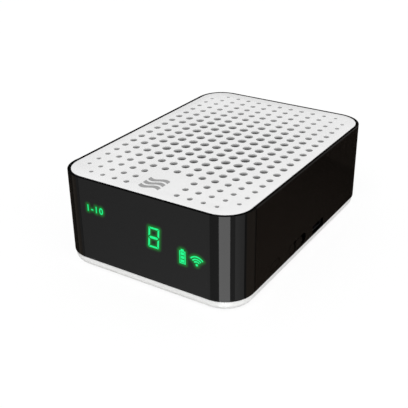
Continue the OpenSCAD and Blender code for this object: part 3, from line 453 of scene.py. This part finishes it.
def flat_bar(width, height, x, y):
    """A flat rectangle, lying in x and y."""
    bpy.ops.mesh.primitive_plane_add(size=1, location=(x, y, 0))
    bar = bpy.context.active_object
    bar.scale = (width, height, 1)
    bpy.ops.object.transform_apply(location=True, rotation=True, scale=True)
    return bar


def frame_of(piece, width):
    """Leaves only a border of one width along the edge of a flat shape."""
    only(piece)
    bpy.ops.object.mode_set(mode="EDIT")
    bpy.ops.mesh.select_all(action="SELECT")
    bpy.ops.mesh.inset(thickness=width)
    bpy.ops.mesh.delete(type="FACE")
    bpy.ops.object.mode_set(mode="OBJECT")
    return piece


def give_body(flat, thickness):
    """Gives a flat shape a thin body behind its face."""
    only(flat)
    body = flat.modifiers.new("body", "SOLIDIFY")
    body.thickness = thickness
    body.offset = -1
    bpy.ops.object.modifier_apply(modifier=body.name)


def set_in_panel(sign, at):
    """Gives a flat sign a thin body and stands it up in the panel's face."""
    give_body(sign, sign_t)
    sign.rotation_euler = (math.radians(90), 0, 0)
    sign.location = (at[0], panel_face - sign_proud, at[1])
    bpy.ops.object.transform_apply(location=True, rotation=True, scale=True)


# The figure: two square loops whose sides are mitred and set apart, and a pointed bar between
loops = []
for level in (-1, 1):
    loop = frame_of(flat_bar(digit_w, digit_h / 2, 0, level * digit_h / 4), digit_stroke)
    bpy.ops.object.mode_set(mode="EDIT")
    pick(loop, lambda middle, normal: abs(middle.y) < digit_stroke)
    bpy.ops.mesh.delete(type="FACE")
    bpy.ops.mesh.select_all(action="SELECT")
    bpy.ops.mesh.inset(thickness=digit_gap / 2, use_individual=True)
    bpy.ops.mesh.select_all(action="INVERT")
    bpy.ops.mesh.delete(type="FACE")
    bpy.ops.object.mode_set(mode="OBJECT")
    loops.append(loop)
middle_bar = flat_bar(digit_w - digit_stroke, digit_stroke, 0, 0)
bpy.ops.object.mode_set(mode="EDIT")
bpy.ops.mesh.select_all(action="SELECT")
bpy.ops.mesh.bevel(offset=digit_stroke / 2, segments=1, affect="VERTICES")
bpy.ops.mesh.remove_doubles(threshold=merge_gap)
bpy.ops.object.mode_set(mode="OBJECT")
figure = joined("lit_figure", loops + [middle_bar])
for vertex in figure.data.vertices:
    vertex.co.x += vertex.co.y * digit_slant

# The label: the plain scale that the figure is read on
bpy.ops.object.text_add()
label = bpy.context.active_object
label.name = "lit_label"
label.data.body = "1-10"
label.data.size = label_size
label.data.space_character = label_space
label.data.offset = label_bold
label.data.align_x = "CENTER"
label.data.align_y = "CENTER"
only(label)
bpy.ops.object.convert(target="MESH")

# The battery: a frame with a cap on top and bars inside
cell = frame_of(flat_bar(battery_w, battery_h, 0, 0), battery_frame)
bar_pitch = (battery_h - 2 * battery_frame) / battery_bars
bars = [flat_bar(battery_w - 3 * battery_frame, battery_fill * bar_pitch, 0,
                 (k - (battery_bars - 1) / 2) * bar_pitch)
        for k in range(battery_bars)]
cap = flat_bar(battery_w / 2, battery_cap, 0, (battery_h + battery_cap) / 2)
battery = joined("lit_battery", [cell, cap] + bars)

# The radio sign: a dot with three arcs over it, each cut from a ring
bpy.ops.mesh.primitive_circle_add(vertices=dot_sides, radius=radio_dot, fill_type="NGON")
dot = bpy.context.active_object
arcs = []
for radius in radio_arcs:
    bpy.ops.mesh.primitive_circle_add(
        vertices=arc_sides, radius=radius + radio_line / 2, fill_type="NGON")
    arc = frame_of(bpy.context.active_object, radio_line)
    bpy.ops.object.mode_set(mode="EDIT")
    for side in (-1, 1):
        bpy.ops.mesh.select_all(action="SELECT")
        outwards = (side * math.cos(radio_spread), -math.sin(radio_spread), 0)
        bpy.ops.mesh.bisect(plane_co=(0, 0, 0), plane_no=outwards, clear_outer=True)
    bpy.ops.object.mode_set(mode="OBJECT")
    arcs.append(arc)
radio = joined("lit_radio", [dot] + arcs)

# Green light behind smoked acrylic: even, with a slight drift from lamp to lamp
sign_light = bpy.data.materials.new("green_light")
sign_light.use_nodes = True
tree = sign_light.node_tree
spot = put(tree, "ShaderNodeTexCoord", {}).outputs["Object"]
drift = put(tree, "ShaderNodeTexNoise", {"Vector": spot, "Scale": 900.0, "Detail": 1.0})
level = put(tree, "ShaderNodeMapRange", {
    "Value": drift.outputs["Fac"],
    "From Min": 0.3, "From Max": 0.7, "To Min": 0.9, "To Max": 1.05})
light = put(tree, "ShaderNodeVectorMath", {
    "Vector": sign_green, "Scale": level.outputs["Result"]}, operation="SCALE")
shader = tree.nodes["Principled BSDF"]
shader.inputs["Base Color"].default_value = panel_smoke
shader.inputs["Roughness"].default_value = 0.05
shader.inputs["Specular IOR Level"].default_value = 0.2
shader.inputs["Emission Strength"].default_value = 1.0
tree.links.new(light.outputs["Vector"], shader.inputs["Emission Color"])
signs = {label: label_at, figure: digit_at, battery: battery_at, radio: radio_at}
for sign, at in signs.items():
    set_in_panel(sign, at)
    show(sign, sign_light, "housing", "lamp_green")

# The haze: a fine net on the panel's face that holds how near each point is to a sign
bpy.context.view_layer.update()
lows = [Vector(sign.bound_box[0]) for sign in signs]
highs = [Vector(sign.bound_box[6]) for sign in signs]
haze_w = 2 * front_flat
haze_h = max(high.z for high in highs) - min(low.z for low in lows) + 2 * haze_margin
bpy.ops.mesh.primitive_grid_add(
    x_subdivisions=round(haze_w / haze_step), y_subdivisions=round(haze_h / haze_step), size=1)
haze = bpy.context.active_object
haze.name = "sign_haze"
haze.scale = (haze_w, haze_h, 1)
haze.rotation_euler = (math.radians(90), 0, 0)
haze.location = (0, panel_face - haze_proud, min(low.z for low in lows) - haze_margin + haze_h / 2)
bpy.ops.object.transform_apply(location=True, rotation=True, scale=True)
near = haze.data.attributes.new("glow", "FLOAT", "POINT")
for vertex in haze.data.vertices:
    away = min((sign.closest_point_on_mesh(vertex.co)[1] - vertex.co).length for sign in signs)
    near.data[vertex.index].value = max(0, 1 - away / haze_reach) ** 2
give_body(haze, haze_proud / 2)
show(haze, smoked, "housing", "panel_smoke")

# Dust filter: a sheet of dark felt stuck under the top plate, seen through its holes.
# Cut flat with round corners. Matted fibres, so the surface is soft and uneven and shows no gloss.
felt_dark = (0.05, 0.05, 0.05, 1)
felt_light = (0.13, 0.13, 0.13, 1)
filter_low, filter_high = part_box("dust_filter")
filter_w = filter_high.x - filter_low.x
filter_l = filter_high.y - filter_low.y
filter_r = 5.75 * mm
filter_turns = 12
filter_edge = 0.15 * mm
fibre_bend = 0.8 * mm
nap_depth = 0.1 * mm
felt = bpy.data.materials.new("filter_felt")
felt.use_nodes = True
tree = felt.node_tree
spot = put(tree, "ShaderNodeTexCoord", {}).outputs["Object"]
bend = put(tree, "ShaderNodeTexNoise", {"Vector": spot, "Scale": 900.0, "Detail": 2.0})
swirl = put(tree, "ShaderNodeVectorMath", {
    0: bend.outputs["Color"], "Scale": fibre_bend}, operation="SCALE")
bent = put(tree, "ShaderNodeVectorMath", {0: spot, 1: swirl.outputs["Vector"]}, operation="ADD")
fibre = put(tree, "ShaderNodeTexNoise", {
    "Vector": bent.outputs["Vector"], "Scale": 6000.0, "Detail": 5.0})
tones = put(tree, "ShaderNodeMix", {
    "Factor": fibre.outputs["Fac"], "A": felt_dark, "B": felt_light}, data_type="RGBA")
nap = put(tree, "ShaderNodeBump", {
    "Height": fibre.outputs["Fac"], "Strength": 0.8, "Distance": nap_depth})
shader = tree.nodes["Principled BSDF"]
shader.inputs["Roughness"].default_value = 0.95
shader.inputs["Specular IOR Level"].default_value = 0.1
tree.links.new(tones.outputs["Result"], shader.inputs["Base Color"])
tree.links.new(nap.outputs["Normal"], shader.inputs["Normal"])
bpy.ops.mesh.primitive_plane_add(size=1, location=(0, 0, filter_high.z))
felt_sheet = bpy.context.active_object
felt_sheet.name = "felt_sheet"
felt_sheet.scale = (filter_w, filter_l, 1)
bpy.ops.object.transform_apply(location=True, rotation=True, scale=True)
bpy.ops.object.mode_set(mode="EDIT")
bpy.ops.mesh.select_all(action="SELECT")
bpy.ops.mesh.bevel(offset=filter_r, segments=filter_turns, affect="VERTICES")
bpy.ops.object.mode_set(mode="OBJECT")
give_body(felt_sheet, filter_high.z - filter_low.z)
round_edges(felt_sheet, filter_edge)
show(felt_sheet, felt, "housing", "filter_grey", "dust_filter")

# Top plate: a white moulded plate with rows of graded holes that let the air in.
# Satin plastic, with painted shade darker down the holes; pegs under it hold it in the sleeve.
plate_white = (0.82, 0.82, 0.82, 1)
hole_shade = ((0.0, 0.1), (0.5, 0.42), (0.97, 0.8), (0.99, 1.0))
plate_low, plate_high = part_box("top_grille")
plate_t = 1.2 * mm
plate_r = 9.48 * mm
plate_turns = 20
plate_edge = 0.04 * mm
edge_turns = 3
plate_clear = 0.12 * mm
plate_up = 0.9
hole_pitch = 5 * mm
hole_cols = 6
hole_rows = 9
hole_max = 3.36 * mm
hole_min = 1.4 * mm
hole_shift = (0.19 * mm, -0.08 * mm)
hole_step = 0.23 * mm
hole_level = 3
bare_rows = 3
hole_sides = 24
hole_flare = 1.03
flare_depth = 0.04 * mm
peg_d = 1.6 * mm
peg_sides = 24
side_peg = (33.2 * mm, 25 * mm)
end_peg = (15 * mm, 48.2 * mm)
peg_places = [(sx * x, sy * y) for x, y in (side_peg, end_peg) for sx in (-1, 1) for sy in (-1, 1)]


def hole_diameter(i, j):
    """Full in the middle field, then smaller by a step for each row outside it."""
    steps_out = max(abs(i) - hole_level, 0) + max(abs(j) - hole_level, 0)
    return max(hole_min, hole_max - hole_step * steps_out)


def has_hole(i, j):
    """No hole at the four corners, nor in the bare place in front."""
    corner = abs(i) == hole_cols and abs(j) == hole_rows
    bare = abs(i) <= 1 and j < bare_rows - hole_rows
    return not corner and not bare


def cut_away(piece, cutter):
    """Takes the cutter's shape out of a piece."""
    only(piece)
    cut = piece.modifiers.new("cut", "BOOLEAN")
    cut.operation = "DIFFERENCE"
    cut.solver = "EXACT"
    cut.object = cutter
    bpy.ops.object.modifier_apply(modifier=cut.name)
    bpy.data.objects.remove(cutter)


bpy.ops.mesh.primitive_plane_add(size=1, location=(0, 0, plate_high.z - plate_t))
plate = bpy.context.active_object
plate.name = "top_plate"
plate.scale = (plate_high.x - plate_low.x - 2 * plate_clear,
               plate_high.y - plate_low.y - 2 * plate_clear, 1)
bpy.ops.object.transform_apply(location=True, rotation=True, scale=True)
bpy.ops.object.mode_set(mode="EDIT")
bpy.ops.mesh.select_all(action="SELECT")
bpy.ops.mesh.bevel(offset=plate_r, segments=plate_turns, affect="VERTICES")
bpy.ops.mesh.select_all(action="SELECT")
bpy.ops.mesh.extrude_region_move(TRANSFORM_OT_translate={"value": (0, 0, plate_t)})
bpy.ops.mesh.select_all(action="SELECT")
bpy.ops.mesh.normals_make_consistent(inside=False)
pick(plate, lambda middle, normal: normal.z > plate_up)
bpy.ops.mesh.bevel(offset=plate_edge, segments=edge_turns, affect="EDGES")
bpy.ops.object.mode_set(mode="OBJECT")

bpy.ops.mesh.primitive_cylinder_add(
    vertices=hole_sides, radius=0.5, depth=2 * plate_t,
    location=(0, 0, plate_high.z - plate_t - flare_depth))
drill = bpy.context.active_object
bpy.ops.object.mode_set(mode="EDIT")
pick(drill, lambda middle, normal: normal.z > plate_up)
bpy.ops.mesh.extrude_region_move(TRANSFORM_OT_translate={"value": (0, 0, 2 * flare_depth)})
bpy.ops.transform.resize(value=(hole_flare, hole_flare, 1), center_override=(0, 0, plate_high.z))
bpy.ops.object.mode_set(mode="OBJECT")
bpy.ops.object.transform_apply(location=True, rotation=True, scale=True)
drills = []
for i in range(-hole_cols, hole_cols + 1):
    for j in range(-hole_rows, hole_rows + 1):
        if has_hole(i, j):
            copy = bpy.data.objects.new("drill", drill.data.copy())
            copy.location = (i * hole_pitch + hole_shift[0], j * hole_pitch + hole_shift[1], 0)
            copy.scale = (hole_diameter(i, j), hole_diameter(i, j), 1)
            bpy.context.collection.objects.link(copy)
            drills.append(copy)
bpy.data.objects.remove(drill)
cut_away(plate, joined("drills", drills))
bpy.ops.object.shade_smooth_by_angle(angle=smooth_angle)

pegs = [plate]
for x, y in peg_places:
    bpy.ops.mesh.primitive_cylinder_add(
        vertices=peg_sides, radius=peg_d / 2, depth=plate_high.z - plate_low.z - plate_t / 2,
        location=(x, y, (plate_high.z - plate_t / 2 + plate_low.z) / 2))
    pegs.append(bpy.context.active_object)
plate = joined("top_plate", pegs)
satin_white = moulded(
    "satin_white_plate", plate_white, roughness=0.5, grains=3500, depth=0.0025 * mm, specular=0.3)
tree = satin_white.node_tree
shader = tree.nodes["Principled BSDF"]
# Painted shade: the colour darkens with depth down the walls of the holes.
spot = put(tree, "ShaderNodeTexCoord", {}).outputs["Object"]
height = put(tree, "ShaderNodeSeparateXYZ", {"Vector": spot})
level = put(tree, "ShaderNodeMapRange", {
    "Value": height.outputs["Z"], "From Min": plate_high.z - plate_t, "From Max": plate_high.z})
shade = put(tree, "ShaderNodeValToRGB", {"Fac": level.outputs["Result"]})
stops = shade.color_ramp.elements
for position, tone in hole_shade[2:]:
    stops.new(position)
for stop, (position, tone) in zip(stops, hole_shade):
    stop.position = position
    stop.color = (tone, tone, tone, 1)
skin_colour = shader.inputs["Base Color"].links[0].from_socket
shaded = put(tree, "ShaderNodeVectorMath", {
    0: skin_colour, 1: shade.outputs["Color"]}, operation="MULTIPLY")
tree.links.new(shaded.outputs["Vector"], shader.inputs["Base Color"])
show(plate, satin_white, "housing", "grille_white", "top_grille")

# Mark: three grey air-flow lines printed on the bare place at the front of the plate.
# A thin film of ink, slightly glossier than the plate and a hair proud of it.
ink_grey = (0.36, 0.36, 0.36, 1)
mark_at = (-1 * mm, -41.7 * mm)
wave_l = 7.8 * mm
wave_w = 1.8 * mm
wave_rise = 0.75 * mm
wave_pitch = 2.7 * mm
wave_cuts = 31
ink_t = 0.02 * mm
waves = []
for k in (-1, 0, 1):
    line = flat_bar(wave_l, wave_w, 0, 0)
    bpy.ops.object.mode_set(mode="EDIT")
    bpy.ops.mesh.select_all(action="SELECT")
    bpy.ops.mesh.subdivide(number_cuts=wave_cuts)
    bpy.ops.object.mode_set(mode="OBJECT")
    for vertex in line.data.vertices:
        rise = wave_rise * math.sin(2 * math.pi * vertex.co.x / wave_l)
        vertex.co.y += rise + mark_at[1] + k * wave_pitch
        vertex.co.x += mark_at[0]
        vertex.co.z = plate_high.z + ink_t
    waves.append(line)
mark = joined("printed_mark", waves)
give_body(mark, ink_t / 2)
ink = moulded("grey_ink", ink_grey, roughness=0.4, grains=4000, depth=0.002 * mm)
show(mark, ink, "housing", "grille_white")

# Push button: a flush black bar in the right side that presses a small switch inside.
# Same plastic as the sleeve, with a fine gap all round and painted shade on its rough flanks, so
# that its outline shows.
button_black = (0.0042, 0.0034, 0.003, 1)
control_edge = 0.03 * mm
control_clear = 0.05 * mm
satin_button = moulded(
    "satin_black_controls", button_black,
    roughness=0.06, grains=3000, depth=0.0003 * mm, specular=0.35)


def narrowed(node):
    """A copy of a control with soft edges, narrower all round by a small clearance."""
    control = soft_edged(node, control_edge)
    low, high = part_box(node)
    bpy.ops.object.mode_set(mode="EDIT")
    bpy.ops.mesh.select_all(action="SELECT")
    bpy.ops.transform.resize(
        value=(1, 1 - 2 * control_clear / (high.y - low.y),
               1 - 2 * control_clear / (high.z - low.z)),
        center_override=(low + high) / 2)
    bpy.ops.object.mode_set(mode="OBJECT")
    return control


button = narrowed("button_cap")
show(button, satin_button, "push_button", "control_black", "button_cap")
shade_flanks(button, lambda middle, normal: normal.x < flank_facing)
finish(resin, "tact_switch")

# Slide switch: a black knob with one upright ridge, moved along a slot in the right side.
# The knob is moulded plastic; behind it a lever leads into a metal-cased switch. A thin
# sheet of painted shade rides on the lever behind the knob, standing in for the slot's shade.
slot_l = 13.8 * mm
slot_travel = 2.75 * mm
shade_sheet_over = 0.3 * mm
shade_sheet_t = 0.2 * mm
shade_sheet_behind = 0.05 * mm
shade_sheet_edge = 0.05 * mm
lever_clear = 0.05 * mm
knob = narrowed("slide_knob")
show(knob, satin_button, "power_slider", "control_black", "slide_knob")
# The knob's flanks get the painted shade too, so that its outline shows.
shade_flanks(knob, lambda middle, normal: normal.x < flank_facing)
knob_low, knob_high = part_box("slide_knob")
lever_low, lever_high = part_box("switch_lever")
shade_sheet_x = knob_low.x - shade_sheet_behind - shade_sheet_t / 2
bpy.ops.mesh.primitive_cube_add(size=1, location=(
    shade_sheet_x, (knob_low.y + knob_high.y) / 2, (knob_low.z + knob_high.z) / 2))
shade_sheet = bpy.context.active_object
shade_sheet.name = "slot_shade_sheet"
shade_sheet.scale = (shade_sheet_t, slot_l + slot_travel + 2 * shade_sheet_over, knob_high.z - knob_low.z)
bpy.ops.object.transform_apply(location=True, rotation=True, scale=True)
bpy.ops.mesh.primitive_cube_add(size=1, location=(
    shade_sheet_x, (lever_low.y + lever_high.y) / 2, (lever_low.z + lever_high.z) / 2))
lever_hole = bpy.context.active_object
lever_hole.scale = (4 * shade_sheet_t, lever_high.y - lever_low.y + 2 * lever_clear,
                    lever_high.z - lever_low.z + 2 * lever_clear)
bpy.ops.object.transform_apply(location=True, rotation=True, scale=True)
cut_away(shade_sheet, lever_hole)
round_edges(shade_sheet, shade_sheet_edge)
# The sheet wears the painted shade of the flanks.
show(shade_sheet, flank_shade, "power_slider", "control_black")
finish(sheet_metal, "slide_switch")
finish(resin, "switch_lever")

# Charging socket: a tube of drawn sheet metal behind an opening in the right side.
# A black tongue stands in it, with a row of gilded contacts on each face.
socket_grey = (0.10, 0.10, 0.105, 1)
contact_gold = (0.75, 0.52, 0.2, 1)
contact_count = 12
contact_pitch = 0.5 * mm
contact_size = (2.6 * mm, 0.28 * mm, 0.04 * mm)
contact_in = 0.3 * mm
contact_edge = 0.01 * mm
socket_edge = 0.04 * mm
tongue_edge = 0.08 * mm
tongue_t = 0.7 * mm
socket = soft_edged("usb_receptacle", socket_edge)
drawn_sheet = metal(
    "drawn_sheet", socket_grey, roughness=0.3, streaks=(300, 4000, 4000), depth=0.005 * mm)
show(socket, drawn_sheet, "housing", "socket_dark", "usb_receptacle")
tongue = soft_edged("usb_tongue", tongue_edge)
show(tongue, resin, "housing", "chip_black", "usb_tongue")
tongue_low, tongue_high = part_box("usb_tongue")
tongue_mid = (tongue_low + tongue_high) / 2
contacts = []
for face in (-1, 1):
    for k in range(contact_count):
        bpy.ops.mesh.primitive_cube_add(size=1, location=(
            tongue_high.x - contact_size[0] / 2 - contact_in,
            tongue_mid.y + (k - (contact_count - 1) / 2) * contact_pitch,
            tongue_mid.z + face * tongue_t / 2))
        contact = bpy.context.active_object
        contact.scale = contact_size
        bpy.ops.object.transform_apply(location=True, rotation=True, scale=True)
        contacts.append(contact)
contacts = joined("socket_contacts", contacts)
round_edges(contacts, contact_edge)
gilt = metal("gilt", contact_gold, roughness=0.22, streaks=(300, 5000, 5000), depth=0.002 * mm)
show(contacts, gilt, "housing", "laser_brass")

# Stage: a pale floor that runs out of sight, a white surround and two soft lamps.
# Black flags and grey cards round the case show only in its gloss, as in a studio.
floor_pale = (0.88, 0.88, 0.88, 1)
white = (1, 1, 1, 1)
floor_size = 6.0
floor_white = 0.88
floor_glow = 1.02
sky_light = 0.76


def seen_rays(tree):
    """One for rays that show the background: straight, mirrored or through glass."""
    path = put(tree, "ShaderNodeLightPath", {})
    mirrored = put(tree, "ShaderNodeMath", {
        0: path.outputs["Is Camera Ray"], 1: path.outputs["Is Glossy Ray"]}, operation="MAXIMUM")
    through = put(tree, "ShaderNodeMath", {
        0: mirrored.outputs["Value"], 1: path.outputs["Is Transmission Ray"]}, operation="MAXIMUM")
    return through.outputs["Value"]


bpy.ops.mesh.primitive_plane_add(size=floor_size, location=(0, 0, 0))
floor = bpy.context.active_object
floor.name = "floor"
ground = bpy.data.materials.new("pale_floor")
ground.use_nodes = True
tree = ground.node_tree
tree.nodes.remove(tree.nodes["Principled BSDF"])
seen = put(tree, "ShaderNodeMath", {0: seen_rays(tree), 1: floor_white}, operation="MULTIPLY")
lit = put(tree, "ShaderNodeBsdfDiffuse", {"Color": floor_pale})
plain = put(tree, "ShaderNodeEmission", {"Color": white, "Strength": floor_glow})
mix = put(tree, "ShaderNodeMixShader", {
    0: seen.outputs["Value"], 1: lit.outputs["BSDF"], 2: plain.outputs["Emission"]})
tree.links.new(mix.outputs["Shader"], tree.nodes["Material Output"].inputs["Surface"])
floor.data.materials.append(ground)

world = bpy.data.worlds.new("surround")
bpy.context.scene.world = world
world.use_nodes = True
tree = world.node_tree
tree.nodes.remove(tree.nodes["Background"])
soft = put(tree, "ShaderNodeBackground", {"Color": white, "Strength": sky_light})
plain = put(tree, "ShaderNodeBackground", {"Color": white, "Strength": 1.0})
mix = put(tree, "ShaderNodeMixShader", {
    0: seen_rays(tree), 1: soft.outputs["Background"], 2: plain.outputs["Background"]})
tree.links.new(mix.outputs["Shader"], tree.nodes["World Output"].inputs["Surface"])


def soft_lamp(name, at, aim, size, power):
    """A square soft box aimed at a point, which does not show in the gloss."""
    bpy.ops.object.light_add(type="AREA", location=at)
    lamp = bpy.context.active_object
    lamp.name = name
    lamp.data.size = size
    lamp.data.energy = power
    lamp.visible_glossy = False
    lamp.rotation_euler = (Vector(aim) - Vector(at)).to_track_quat("-Z", "Y").to_euler()


soft_lamp("key", at=(0.53, -3.3, 4.05), aim=(0, 0, 0), size=3.0, power=96.0)
soft_lamp("fill", at=(3.9, -0.75, 1.8), aim=(0, 0, 0), size=2.4, power=36.0)

card_steps = 8


def gloss_card(name, corners, colour, strengths):
    """A flat card that only mirrored rays see, fading from its left to its right strength."""
    near_left, near_right, far_right, far_left = (Vector(corner) for corner in corners)
    bpy.ops.mesh.primitive_grid_add(x_subdivisions=card_steps, y_subdivisions=card_steps, size=1)
    card = bpy.context.active_object
    card.name = name
    for vertex in card.data.vertices:
        side, out = vertex.co.x + 0.5, vertex.co.y + 0.5
        vertex.co = near_left.lerp(near_right, side).lerp(far_left.lerp(far_right, side), out)
    card.visible_camera = False
    card.visible_diffuse = False
    card.visible_transmission = False
    card.visible_volume_scatter = False
    card.visible_shadow = False
    paint = bpy.data.materials.new(name + "_paint")
    paint.use_nodes = True
    tree = paint.node_tree
    tree.nodes.remove(tree.nodes["Principled BSDF"])
    spot = put(tree, "ShaderNodeTexCoord", {}).outputs["UV"]
    across = put(tree, "ShaderNodeSeparateXYZ", {"Vector": spot})
    fade = put(tree, "ShaderNodeMapRange", {
        "Value": across.outputs["X"], "To Min": strengths[0], "To Max": strengths[1]})
    glow = put(tree, "ShaderNodeEmission", {"Color": colour, "Strength": fade.outputs["Result"]})
    tree.links.new(glow.outputs["Emission"], tree.nodes["Material Output"].inputs["Surface"])
    card.data.materials.append(paint)


# Cards under the mirrored rays of the two front corners. Each is a strip from one turn of the
# corner to another, in degrees from the front, with its colour and its strength at either side
arc_middle = Vector((25.35, -40.35, 0)) * mm
arc_radius = 10.75 * mm
card_start = 1 * mm
card_reach = 90 * mm
card_level = 0.4 * mm
right_heading = math.radians(-32.8)
left_heading = math.radians(-43.4)


def mirror_line(side, turn, heading):
    """Two floor points under the mirrored rays of a front corner, at one turn from the front."""
    start = Vector((side * (arc_middle.x + arc_radius * math.sin(turn)),
                    arc_middle.y - arc_radius * math.cos(turn), card_level))
    bearing = side * 2 * turn + heading
    way = Vector((math.sin(bearing), -math.cos(bearing), 0))
    return start + card_start * way, start + card_reach * way


neutral = (1, 1, 1, 1)
warm = (1.0, 0.84, 0.68, 1)
brown = (1.0, 0.78, 0.6, 1)
right_cards = [
    (4.7, 21, neutral, (0.47, 0.56)),
    (21, 39.9, neutral, (6.0, 6.0)),
    (39.9, 48.6, neutral, (0.6, 0.58)),
    (48.6, 66, neutral, (1.32, 0.74)),
    (66, 70.5, neutral, (0.12, 0.12)),
    (70.5, 91, brown, (0.35, 0.12)),
]
left_cards = [
    (0.9, 7, neutral, (0.28, 0.28)),
    (7, 18, warm, (0.26, 0.26)),
    (18, 60, brown, (0.05, 0.02)),
]
for side, heading, cards in ((1, right_heading, right_cards), (-1, left_heading, left_cards)):
    for first, last, colour, strengths in cards:
        near_0, far_0 = mirror_line(side, math.radians(first), heading)
        near_1, far_1 = mirror_line(side, math.radians(last), heading)
        gloss_card(f"corner_card_{side}_{first}", (near_0, near_1, far_1, far_0), colour, strengths)

# Wider cards before the walls: colour, strengths, and corners in mm from the near left one round
soft_level = 0.2 * mm
soft_cards = {
    "front_card": (
        neutral, (0.565, 0.93), ((-30, -51), (30, -51), (-118, -400), (-371, -400))),
    "front_left_card": (
        neutral, (0.1, 0.565), ((-200, -51), (-30, -51), (-371, -400), (-600, -400))),
    "front_right_card": (
        neutral, (0.93, 0.062), ((30, -51), (200, -51), (250, -400), (-118, -400))),
    "right_card": (
        brown, (0.062, 0.008), ((37, -51), (37, 70), (250, 171), (250, 81))),
    "right_front_card": (
        brown, (0.062, 0.062), ((37, -51), (37, -51), (250, 81), (250, -51))),
    "back_card": (
        brown, (0.02, 0.35), ((36, 52), (-300, 52), (-300, 500), (36, 500))),
    "left_card": (
        brown, (0.35, 0.02), ((-37, 300), (-37, -36), (-400, -36), (-400, 300))),
}
for name, (colour, strengths, spots) in soft_cards.items():
    gloss_card(name, [(x * mm, y * mm, soft_level) for x, y in spots], colour, strengths)

# Black flags: one on the floor, one on the left and one at the back
floor_black = (0.02, 0.02)
flag_black = (0.005, 0.005)
flag_level = 0.1 * mm
flag_half = 600 * mm
flag_high = 2.6
flag_left = -1.2
flag_right = 0.37
flag_back = 1.6
gloss_card("floor_flag", ((-flag_half, -flag_half, flag_level), (flag_half, -flag_half, flag_level),
                          (flag_half, flag_half, flag_level), (-flag_half, flag_half, flag_level)),
           brown, floor_black)
gloss_card("left_flag", ((flag_left, -flag_back, 0), (flag_left, flag_back, 0),
                         (flag_left, flag_back, flag_high), (flag_left, -flag_back, flag_high)),
           neutral, flag_black)
gloss_card("back_flag", ((flag_left, flag_back, 0), (flag_right, flag_back, 0),
                         (flag_right, flag_back, flag_high), (flag_left, flag_back, flag_high)),
           neutral, flag_black)

# Camera: at the photograph's viewing angle, above and to the right of the front.
# A longish lens, with the small shift that the photograph's framing needs.
camera_at = (131.735 * mm, -216.66 * mm, 139.255 * mm)
camera_turn = (math.radians(62.91), 0, math.radians(31.331))
camera_lens = 65.32
camera_shift = (-0.0462, 0.00145)
bpy.ops.object.camera_add(location=camera_at, rotation=camera_turn)
camera = bpy.context.active_object
camera.data.lens = camera_lens
camera.data.sensor_width = 36
camera.data.shift_x, camera.data.shift_y = camera_shift
camera.data.clip_start = 0.01
bpy.context.scene.camera = camera
bpy.context.scene.view_settings.view_transform = "Standard"
